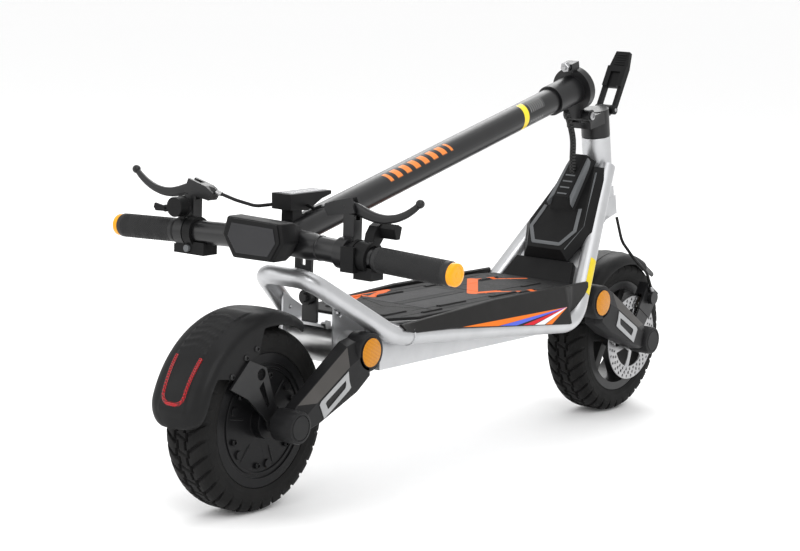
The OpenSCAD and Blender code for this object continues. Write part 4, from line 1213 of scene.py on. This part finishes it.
@dataclass
class NeckCover:
    """Hexagonal controller cover with grey accents."""

    top: float = 27.5

    def strip(self, name: str, line: Sequence[Sequence[float]], width: float, height: float, low: float,
              finish: Finish) -> None:
        """Raised strip: a rounded bar section carried along a line on the cover.

        Args:
            name: the piece's name.
            line: its corners, along and across the neck.
            width: the section's width.
            height: its reach up and down from its middle.
            low: how far its middle lies off the neck's plane.
            finish: its finish.
        """
        path = resampled(rounded([(a, b, low) for a, b in line], [3.0] * (len(line) - 2)), 4)
        turn = np.linspace(0, 2 * np.pi, 16, endpoint=False)
        c, d = np.cos(turn), np.sin(turn)
        box = np.stack([width / 2 * np.sign(c) * np.abs(c) ** 0.4, height * np.sign(d) * np.abs(d) ** 0.4],
                       -1)
        places = carried(path, np.broadcast_to(box, (len(path), *box.shape)), (0, 0, 1)).reshape(-1, 3)
        SHOP.piece(name, on_neck(places), capped(len(path), 16), finish, "frame")

    def build(self) -> None:
        """Builds the cover and its accents."""
        SHOP.refined("controller_cover", PLASTIC, 1.6)
        for side in Side:
            s = side.value
            edge = [(266, s * 28), (200, s * 42), (162, s * 51), (116, s * 35)]
            self.strip(f"cover_edge_{side.tag}", edge, 3.0, 1.0, self.top - 3.4, COVER_GREY)
            flank = [(188, s * 23), (262, s * 19), (280, s * 16.6), (280, s * 13.5), (204, s * 14.5)]
            SHOP.plate(f"cover_flank_{side.tag}", flank, 33.0, 44.4, on_neck, COVER_GREY, "frame", 1.0)
        for k in range(4):
            vent = [(206 + 12 * k, -9), (206 + 12 * k, 9)]
            self.strip(f"cover_vent_{k}", vent, 2.6, 1.1, self.top + 18.3, COVER_GREY)
        ring = [(192, 33), (168, 38), (150, 42), (122, 25), (122, -25), (150, -42), (168, -38), (192, -33)]
        self.strip("cover_accent", ring, 6.5, 1.6, self.top - 0.6, COVER_GREY)
        SHOP.refined("cable_sleeve", SLEEVE, 0.0)


def ramp(angle: np.ndarray, start: float, end: float) -> np.ndarray:
    """Rises from nought to one while an angle in radians runs from start to end degrees."""
    return np.clip((np.degrees(angle) - start) / (end - start), 0, 1)


@dataclass
class Fenders:
    """Rear and front fenders and the tail light."""

    rear: tuple[float, float] = REAR_AXLE
    front: tuple[float, float] = FRONT_AXLE
    wall: float = 2.5

    def shell(self, name: str, centre: tuple[float, float], start: float, end: float,
              crown: Callable[[np.ndarray], np.ndarray],
              half: Callable[[np.ndarray], np.ndarray], lip: Callable[[np.ndarray], np.ndarray],
              ridge: Callable[[np.ndarray, np.ndarray], np.ndarray],
              body: str, node: str) -> None:
        """Curved shell of even thickness.

        At each angle the section runs from one side lip up over a rounded shoulder and across the crown. The
        inner surface is the same section brought in by the wall. Ridges are added to the crown only.

        Args:
            name: the piece's name.
            centre: the wheel's x and z.
            start, end: the angles it runs between, in degrees.
            crown: the crown's distance from the axle at an angle.
            half: half its width at an angle.
            lip: how far its sides reach down at an angle.
            ridge: what stands up from the crown at an angle and a breadth.
            body: the body it rides on.
            node: the CAD node it replaces.
        """
        angle = np.radians(np.linspace(start, end, 150))[:, None]
        v = np.linspace(-1, 1, 61)[None]
        w, r, drop = half(angle), crown(angle), lip(angle)
        flat, bend = 0.42, 0.74
        a = np.abs(v)
        turn = (a - flat) / (bend - flat) * np.pi / 2
        across = np.where(a < flat, a / flat * (w - 22), np.where(a < bend, w - 22 + 22 * np.sin(turn), w))
        wall = 16.2 + (drop - 16.2) * (a - bend) / (1 - bend)
        shoulder = np.where(a < bend, 1.2 + 15 * (1 - np.cos(turn)), wall)
        down = np.where(a < flat, 1.2 * (a / flat) ** 2, shoulder)
        surfaces = []
        for inset in (0.0, self.wall):
            inward = np.where(a >= flat, inset, 0) * np.clip((a - flat) / 0.1, 0, 1)
            side = np.sign(v) * np.maximum(across - inward, 0)
            raised = ridge(angle, side) if inset == 0 else 0
            height = r - down - np.where(a < bend, inset, 0) + raised * (a < flat)
            x, z = centre[0] + height * np.cos(angle), centre[1] + height * np.sin(angle)
            surfaces.append(np.stack([x, side + 0 * angle, z], -1))
        n, m = surfaces[0].shape[:2]
        skin = grid_faces(n, m, False, False)
        edge = list(range(0, m)) + [i * m + m - 1 for i in range(1, n)]
        edge += [(n - 1) * m + j for j in range(m - 2, -1, -1)] + [i * m for i in range(n - 2, 0, -1)]
        rim = [[one, two, two + n * m, one + n * m] for one, two in zip(edge, edge[1:] + edge[:1])]
        faces = np.vstack([skin, skin[:, ::-1] + n * m, np.array(rim)])
        SHOP.piece(name, np.concatenate([s.reshape(-1, 3) for s in surfaces]), faces, FENDER, body, 32.0,
                   0.0, (node,))

    def rear_crown(self, a: np.ndarray) -> np.ndarray:
        """An even distance from the axle."""
        return 150.6 + 0 * a

    def rear_half(self, a: np.ndarray) -> np.ndarray:
        """Full width, less where it starts, rounded off at its tail."""
        tail = 1 - np.sqrt(np.clip(1 - ramp(a, 162, 176.8) ** 2, 0, 1))
        return 46.8 - 26.0 * tail - 6 * (1 - ramp(a, 58, 74))

    def rear_lip(self, a: np.ndarray) -> np.ndarray:
        """Deep cheeks over the arms."""
        return 19 + 31 * ramp(a, 98, 106) * (1 - ramp(a, 138, 146))

    def rear_ridge(self, a: np.ndarray, y: np.ndarray) -> np.ndarray:
        """Slanted slats on a raised field.

        Args:
            a: angles.
            y: breadths.

        Returns:
            How far the crown stands up there.
        """
        deg = np.degrees(a)
        slats = np.abs(((deg - np.abs(y) * 0.12) % 5) - 2.5) < 1.1
        raised = np.clip((23.6 - np.abs(y)) / 0.9, 0, 1) * ramp(a, 96, 99) * (1 - ramp(a, 168, 171))
        return 0.8 * slats * ((deg > 106) & (deg < 136)) * (np.abs(y) < 22) + 1.0 * raised

    def front_crown(self, a: np.ndarray) -> np.ndarray:
        """Rises away from the tyre towards its front tip."""
        return 138.8 + 28 * (1 - ramp(a, 34, 60)) ** 1.6

    def front_half(self, a: np.ndarray) -> np.ndarray:
        """Narrows towards its front tip."""
        return 18 + 25.8 * ramp(a, 34, 62)

    def front_lip(self, a: np.ndarray) -> np.ndarray:
        """Shallow sides."""
        return 17.2 - 0.8 * (1 - ramp(a, 34, 60))

    def front_ridge(self, a: np.ndarray, y: np.ndarray) -> np.ndarray:
        """Two lines along the crown."""
        return 0.7 * (np.abs(np.abs(y) - 12) < 1.2) * np.ones_like(a)

    def build(self) -> None:
        """Builds both fenders, the light and their screws."""
        self.shell("rear_fender_shell", self.rear, 60, 176.5, self.rear_crown, self.rear_half, self.rear_lip,
                   self.rear_ridge, "rear_arm", "rear_fender")
        self.shell("front_fender_shell", self.front, 35, 142, self.front_crown, self.front_half,
                   self.front_lip,
                   self.front_ridge, "front_arm", "front_fender")
        for side in Side:
            a = math.radians(142)
            c, s = math.cos(a), math.sin(a)
            box = np.array([[r, y, t] for r in (125.5, 136.5) for y in (42.5, 64.0) for t in (-15, 0)])
            x = self.front[0] + box[:, 0] * c - box[:, 2] * s * -1
            z = self.front[1] + box[:, 0] * s + box[:, 2] * c * -1
            places = np.c_[x, side.value * box[:, 1], z]
            faces = [[0, 1, 3, 2], [4, 5, 7, 6], [0, 1, 5, 4], [2, 3, 7, 6], [0, 2, 6, 4], [1, 3, 7, 5]]
            SHOP.piece(f"front_fender_stay_{side.tag}", places, faces, BLACK, "front_arm", 30.0, 1.2)
            for k, ang in enumerate((108, 120, 138)):
                a = math.radians(ang)
                at = (self.rear[0] + 110 * math.cos(a), side.value * 46.6, self.rear[1] + 110 * math.sin(a))
                SHOP.bolt(f"fender_screw_{k}_{side.tag}", at, (0, side.value, 0), 4.2, BLACK, "rear_arm", 3.0)
        corners = [(139.0, 21.0), (164.5, 17.5), (164.5, -17.5), (139.0, -21.0)]
        flat = rounded([(a * 2.6, y, 0.0) for a, y in corners], [13.0, 13.0], 20)
        fine = resampled(flat, 2.0)
        a, reach = np.radians(fine[:, 0] / 2.6), 150.2 - 1.2 * (fine[:, 1] / 25.0) ** 2
        path = np.stack([self.rear[0] + reach * np.cos(a), fine[:, 1], self.rear[1] + reach * np.sin(a)], -1)
        SHOP.tube("tail_light_lens", path, 3.1, (-0.94, 0, 0.34), RED, "rear_arm", 20, ("tail_light",))


@dataclass
class Steering:
    """Fork leg, hinge castings and clamp lever."""

    lever_pivot: tuple[float, float, float] = (431.83, 0, 505.19)
    lever_lean: float = 27.7
    hinge: tuple[float, float, float] = (351.512, 0, 499.745)
    stem_slope: float = 13.9921

    def build(self) -> None:
        """Refines the fork, hinge and lever and adds the visible screws."""
        castings = (("fork", SILVER, 3.0), ("hinge_base", BLACK, 1.2), ("hinge_pin", STEEL, 0.6),
                    ("hinge_head", BLACK, 2.2), ("fold_lever", PLASTIC, 2.0), ("hook_plate", BLACK, 0.6))
        for node, finish, bevel in castings:
            SHOP.refined(node, finish, bevel)
        lean = math.radians(self.lever_lean)
        way = np.array([math.sin(lean), 0, math.cos(lean)])
        out = np.array([math.cos(lean), 0, -math.sin(lean)])
        turn = np.linspace(-1, 1, 24)
        for k in range(5):
            centre = np.array(self.lever_pivot) + way * (80 + 4.4 * k) - out * 3.2
            path = centre + np.stack([0 * turn, 10.5 * turn, 0 * turn], -1)
            radius = 1.0 * np.sqrt(np.clip(1.02 - turn ** 8, 0.05, 1))
            SHOP.tube(f"lever_rib_{k}", path, radius, (1, 0, 0), PLASTIC, "fold_lever", 12)
        slope = math.radians(self.stem_slope)
        along = np.array([math.cos(slope), 0, math.sin(slope)])
        rise = np.array([-math.sin(slope), 0, math.cos(slope)])
        at = np.array(self.hinge) + rise * 86.5 - along * 20
        bolt = [(0, 7.5), (1.5, 8.2), (8.5, 8.2), (9.5, 7.2), (9.5, 4.2), (12, 3.6), (12, SMALL)]
        SHOP.turned("catch_bolt", bolt, at, -along, STEEL, "stem", 6, 20.0)
        for side in Side:
            seat = (351.5, side.value * 25.8, 499.7)
            SHOP.bolt(f"hinge_screw_{side.tag}", seat, (0, side.value, 0), 6.5, STEEL, "steering", 2.2)


@dataclass
class Cockpit:
    """Handlebar, grips, controls, display and lamp."""

    x: float = -383.5
    z: float = 364.0
    half: float = 301.5
    drop: float = 12.0
    clamps: dict[Side, float] = field(default_factory=lambda: {Side.LEFT: 170.0, Side.RIGHT: 118.0})

    def on_bar(self, y: float) -> np.ndarray:
        """Point on the bar's axis at a distance y from the middle."""
        return np.array([self.x, y, self.z - self.drop * abs(y) / self.half])

    def bar(self) -> None:
        """Bar: a circle carried from end to end, which swells at the middle and narrows under the grips."""
        y = np.concatenate([-np.linspace(self.half - 8.5, 0, 70), np.linspace(0, self.half - 8.5, 70)[1:]])
        path = np.stack([self.on_bar(float(v)) for v in y])
        radius = np.interp(np.abs(y), [0, 58, 74, 160, 167, 300], [19.0, 19.0, 16.5, 16.5, 11.0, 11.0])
        SHOP.tube("bar_tube", path, radius, (1, 0, 0), TUBE_PLAIN, "stem", 48, ("handlebar",))
        for side in Side:
            a = self.on_bar(side.value * 74.0)
            SHOP.turned(f"bar_seam_{side.tag}", [(0, 16.8), (0.8, 17.4), (2.4, 17.4), (3.2, 16.8)], a,
                        (0, side.value, 0), BLACK, "stem", 48)

    def grip(self, side: Side, start: float) -> None:
        """Grip: radius over length and turn.

        Two end collars stand up, and between them a diamond pattern of crossed ridges covers the grip.

        Args:
            side: the side it is on.
            start: where it starts on the bar, from the middle.
        """
        s = side.value
        a, b = self.on_bar(s * (start + 0.6)), self.on_bar(s * (self.half - 8.0))
        length = float(np.linalg.norm(b - a))
        t = np.linspace(0, length, 200)
        turn = np.linspace(0, 2 * np.pi, 120, endpoint=False)
        base = np.interp(t, [0, 3, 3.5, 9, 9.5, length - 9.5, length - 9, length - 3, length],
                         [14.5, 16.9, 16.9, 16.9, 16.1, 16.1, 16.9, 16.9, 15.0])
        body = ((t > 9.5) & (t < length - 9.5)).astype(float)
        u, w = t[:, None] / 3.4, turn[None] * 15 / np.pi
        diamond = np.maximum(np.abs(((u + w) % 1) - 0.5), np.abs(((u - w) % 1) - 0.5)) * 2
        r = base[:, None] + body[:, None] * 0.9 * np.clip((0.86 - diamond) / 0.2, 0, 1)
        section = np.stack([r * np.cos(turn), r * np.sin(turn)], -1)
        path = a + (b - a) * (t / length)[:, None]
        places = carried(path, section, (1, 0, 0)).reshape(-1, 3)
        SHOP.piece(f"grip_{side.tag}", places, capped(len(t), len(turn)), GRIP, "stem", 50.0, 0.0, ("grips",))
        end = self.on_bar(s * (self.half - 8.0))
        out = unit(b - a)
        cap = [(0, 15.4), (6.0, 15.6), (7.4, 15.0), (8.2, 13.4), (8.3, 10.5), (7.6, 10.0), (7.6, 4.0),
               (8.1, 3.4), (8.1, SMALL)]
        SHOP.turned(f"end_cap_{side.tag}", cap, end, out, ORANGE, "stem", 48, 30.0, ("bar_end_plugs",))

    def lever(self, side: Side, y: float) -> None:
        """Brake lever: an oval section carried along a curve, thick at the eye, with a ball end.

        Args:
            side: the side it is on.
            y: where its clamp is on the bar, from the middle.
        """
        s = side.value
        z = self.on_bar(y)[2] + 60
        x0 = self.x + 12
        line = np.array([(-6, -1), (6, 0), (18, -2), (32, -6.5), (48, -10), (64, -10.5), (82, -7), (98, 0),
                         (110, 8), (119, 16)], float)
        k = np.linspace(0, len(line) - 1, 60)
        curve = np.stack([np.interp(k, range(len(line)), line[:, i]) for i in (0, 1)], -1)
        for _ in range(6):
            curve[1:-1] = (curve[:-2] + 2 * curve[1:-1] + curve[2:]) / 4
        path = np.stack([np.full(60, x0), s * (y - 8 + curve[:, 0]), z + curve[:, 1]], -1)
        tall = np.interp(k, [0, 1, 3, 6, 8, 9], [6.6, 8.6, 7.4, 5.4, 4.4, 3.6])
        wide = np.interp(k, [0, 1, 2, 3, 6, 9], [3.9, 3.9, 3.9, 4.6, 4.6, 3.4])
        turn = np.linspace(0, 2 * np.pi, 28, endpoint=False)
        c, d = np.cos(turn), np.sin(turn)
        section = np.stack([wide[:, None] * np.sign(c) * np.abs(c) ** 0.7,
                            tall[:, None] * np.sign(d) * np.abs(d) ** 0.8], -1)
        places = carried(path, section, (0, 0, 1)).reshape(-1, 3)
        tag = side.tag
        SHOP.piece(f"{tag}_lever_blade", places, capped(60, 28), BLACK, f"{tag}_brake_lever", 50.0, 0.0,
                   (f"{tag}_brake_lever",))
        t = np.linspace(0.02, np.pi - 0.02, 24)
        ball = np.stack([-6 * np.cos(t), 6 * np.sin(t)], -1)
        SHOP.turned(f"{tag}_lever_ball", ball, (x0, s * (y - 8 + 119), z + 16), (0, 1, 0), BLACK,
                    f"{tag}_brake_lever", 32)
        SHOP.turned(f"{tag}_adjuster", [(0, 4.6), (1, 5.4), (9, 5.4), (10, 4.4), (14, 4.0), (14, SMALL)],
                    (x0, s * (y - 30), z + 0.5), (0, -s, -0.15), BLACK, "stem", 20, 20.0)

    def display_face(self) -> None:
        """Screen: a six-sided glass plate with a raised bezel on the housing's rear face."""
        z = self.z
        outline = np.array([(-50, 31), (46, 33), (54, 7), (34, -23), (-38, -22), (-56, 5)], float)
        levels = [(439.0, 0.97), (434.0, 1.0), (412.0, 1.0), (398.0, 0.86), (382.0, 0.74)]
        rings = [np.c_[np.full(6, -x), outline * k + (0, z)] for x, k in levels]
        faces = [[i * 6 + j, i * 6 + (j + 1) % 6, i * 6 + 6 + (j + 1) % 6, i * 6 + 6 + j] for i in range(4)
                 for j in range(6)]
        SHOP.piece("display_housing", np.vstack(rings), faces + [[0, 1, 2, 3, 4, 5], list(range(24, 30))],
                   PLASTIC, "stem", 30.0, 2.2, ("display",))
        shape = [(-43, 26.5), (39, 28), (46, 6), (29, -19), (-33, -18.5), (-48, 4.5)]

        def place(v: np.ndarray) -> np.ndarray:
            """Stands a plate up across the bar, facing back."""
            return np.c_[-v[:, 2], v[:, 0], v[:, 1] + z + 1]

        SHOP.plate("screen_bezel", [(a * 1.04, b * 1.08) for a, b in shape], 439.0, 440.6, place, PLASTIC,
                   "stem", 0.5)
        SHOP.plate("screen_glass_plate", [(a * 0.9, b * 0.86) for a, b in shape], 440.2, 441.2, place,
                   SCREEN, "stem", 0.4)

    def cables(self) -> None:
        """Brake cables and the hose along their routes, with ferrules where they enter the controls."""
        lx = self.x + 12
        left = rounded([(lx, 125, 415.5), (lx, 90, 408), (lx + 8, 60, 402), (lx + 22, 22.4, 409)], [40, 40])
        right = rounded([(lx, -73, 417.3), (lx + 6, -56, 414), (lx + 20, -36, 407), (lx + 30, -14.6, 409)],
                        [20, 20])
        SHOP.tube("left_cable", resampled(left, 4), 2.45, (0, 0, 1), CABLE, "stem", 16, ("brake_cables",))
        SHOP.tube("right_cable", resampled(right, 4), 2.45, (0, 0, 1), CABLE, "stem", 16)
        fx = FRONT_AXLE[0]
        hose = rounded([(fx - 30, -34, 330), (fx - 36, -50, 292), (fx - 14, -62, 262), (fx + 22, -66, 236),
                        (fx + 40, -67, 202.6)], [24, 40, 30])
        SHOP.tube("hose", resampled(hose, 4), 2.45, (0, 1, 0.2), CABLE, "front_arm", 16, ("brake_hose",))
        for name, path, body in (("left_ferrule", left[:2], "stem"), ("right_ferrule", right[:2], "stem"),
                                 ("hose_ferrule", hose[::-1][:2], "front_arm")):
            way = unit(path[1] - path[0])
            SHOP.turned(name, [(0, 3.9), (5, 3.9), (6, 3.4), (9, 3.2), (9.5, 2.6)], path[0], way, STEEL,
                        body, 20, 20.0)

    def build(self) -> None:
        """Builds everything on the stem."""
        SHOP.refined("stem_tube", TUBE, 0.5)
        for node, finish, bevel in (("headlight", PLASTIC, 1.4), ("lever_brackets", BLACK, 2.4),
                                    ("bell", PLASTIC, 1.0), ("bell_striker", PLASTIC, 0.6),
                                    ("throttle_ring", PLASTIC, 1.8), ("throttle_paddle", PLASTIC, 2.6),
                                    ("switch_pod", PLASTIC, 3.0), ("horn_button", COVER_GREY, 0.8)):
            SHOP.refined(node, finish, bevel)
        self.bar()
        self.grip(Side.RIGHT, 168.0)
        self.grip(Side.LEFT, 183.0)
        for side, y in self.clamps.items():
            self.lever(side, y)
        self.display_face()
        self.cables()

        def lamp(v: np.ndarray) -> np.ndarray:
            """Lays a plate level over the lamp."""
            return np.c_[v[:, 0] + self.x + 8, v[:, 1] + 4, v[:, 2] + self.z]

        SHOP.plate("lamp_lens_plate", [(6, -13), (80, -11), (80, 11), (6, 13)], 61.6, 62.6, lamp, LENS,
                   "stem", 0.5)
        for side, y in self.clamps.items():
            at = self.on_bar(side.value * y) + (22.0, 0, 2.0)
            SHOP.bolt(f"clamp_screw_{side.tag}", at - (1.5, 0, 0), (1, 0, 0), 3.6, STEEL, "stem", 3.0)


@dataclass
class Studio:
    """Floor, lights and camera."""

    eye: tuple[float, float, float] = (-2594.27, -1901.41, 785.17)
    right: tuple[float, float, float] = (0.59452, -0.80328, 0.03578)
    up: tuple[float, float, float] = (0.11079, 0.12591, 0.98584)
    ahead: tuple[float, float, float] = (0.79641, 0.58214, -0.16385)
    lens: float = 97.38
    shift: tuple[float, float] = (-0.0586, 0.0189)

    def floor(self) -> None:
        """Large pale floor with a very slight mottling."""
        mesh = bpy.data.meshes.new("studio_floor")
        mesh.from_pydata([(-40, -40, -0.0004), (40, -40, -0.0004), (40, 40, -0.0004), (-40, 40, -0.0004)],
                         [], [(0, 1, 2, 3)])
        obj = bpy.data.objects.new("studio_floor", mesh)
        bpy.context.scene.collection.objects.link(obj)
        mesh.materials.append(Finish("floor_paper", "", (0.98, 0.98, 0.98), (0.97, 0.97, 0.97), 0.75,
                                     0.05).build())

    def lamp(self, name: str, place: Sequence[float], size: float, power: float) -> None:
        """Square area light aimed at the scooter's middle.

        Args:
            name: its name.
            place: where it is, in metres.
            size: its edge, in metres.
            power: its watts.
        """
        data = bpy.data.lights.new(name, "AREA")
        data.size = size
        data.energy = power
        obj = bpy.data.objects.new(name, data)
        bpy.context.scene.collection.objects.link(obj)
        obj.location = place
        obj.rotation_mode = "QUATERNION"
        obj.rotation_quaternion = (Vector((0, 0, 0.3)) - Vector(place)).to_track_quat("-Z", "Y")

    def build(self) -> None:
        """Builds the set."""
        self.floor()
        self.lamp("key", (-2.2, -2.6, 3.0), 2.2, 60)
        self.lamp("fill", (-3.2, 1.8, 1.8), 2.5, 25)
        self.lamp("rim", (2.4, 1.6, 2.4), 2.0, 40)
        self.lamp("top", (0.0, -0.2, 3.4), 3.0, 30)
        world = bpy.data.worlds.new("studio_world")
        world.use_nodes = True
        world.node_tree.nodes["Background"].inputs[0].default_value = (1, 1, 1, 1)
        world.node_tree.nodes["Background"].inputs[1].default_value = 1.0
        bpy.context.scene.world = world
        bpy.context.scene.view_settings.view_transform = "Standard"
        data = bpy.data.cameras.new("camera")
        data.lens = self.lens
        data.sensor_width = 36
        data.shift_x, data.shift_y = self.shift
        data.clip_end = 200
        camera = bpy.data.objects.new("camera", data)
        bpy.context.scene.collection.objects.link(camera)
        axes = Matrix((self.right, self.up, [-c for c in self.ahead])).transposed().to_4x4()
        camera.matrix_world = Matrix.Translation(Vector(self.eye) * MM) @ axes
        bpy.context.scene.camera = camera


def main() -> None:
    """Builds the scooter and its set."""
    logging.basicConfig(level=logging.INFO)
    for part in (Wheels(), Arms(), FrameTubes(), Deck(), NeckCover(), Fenders(), Steering(), Cockpit(),
                 Studio()):
        part.build()


if __name__ == "__main__":
    main()
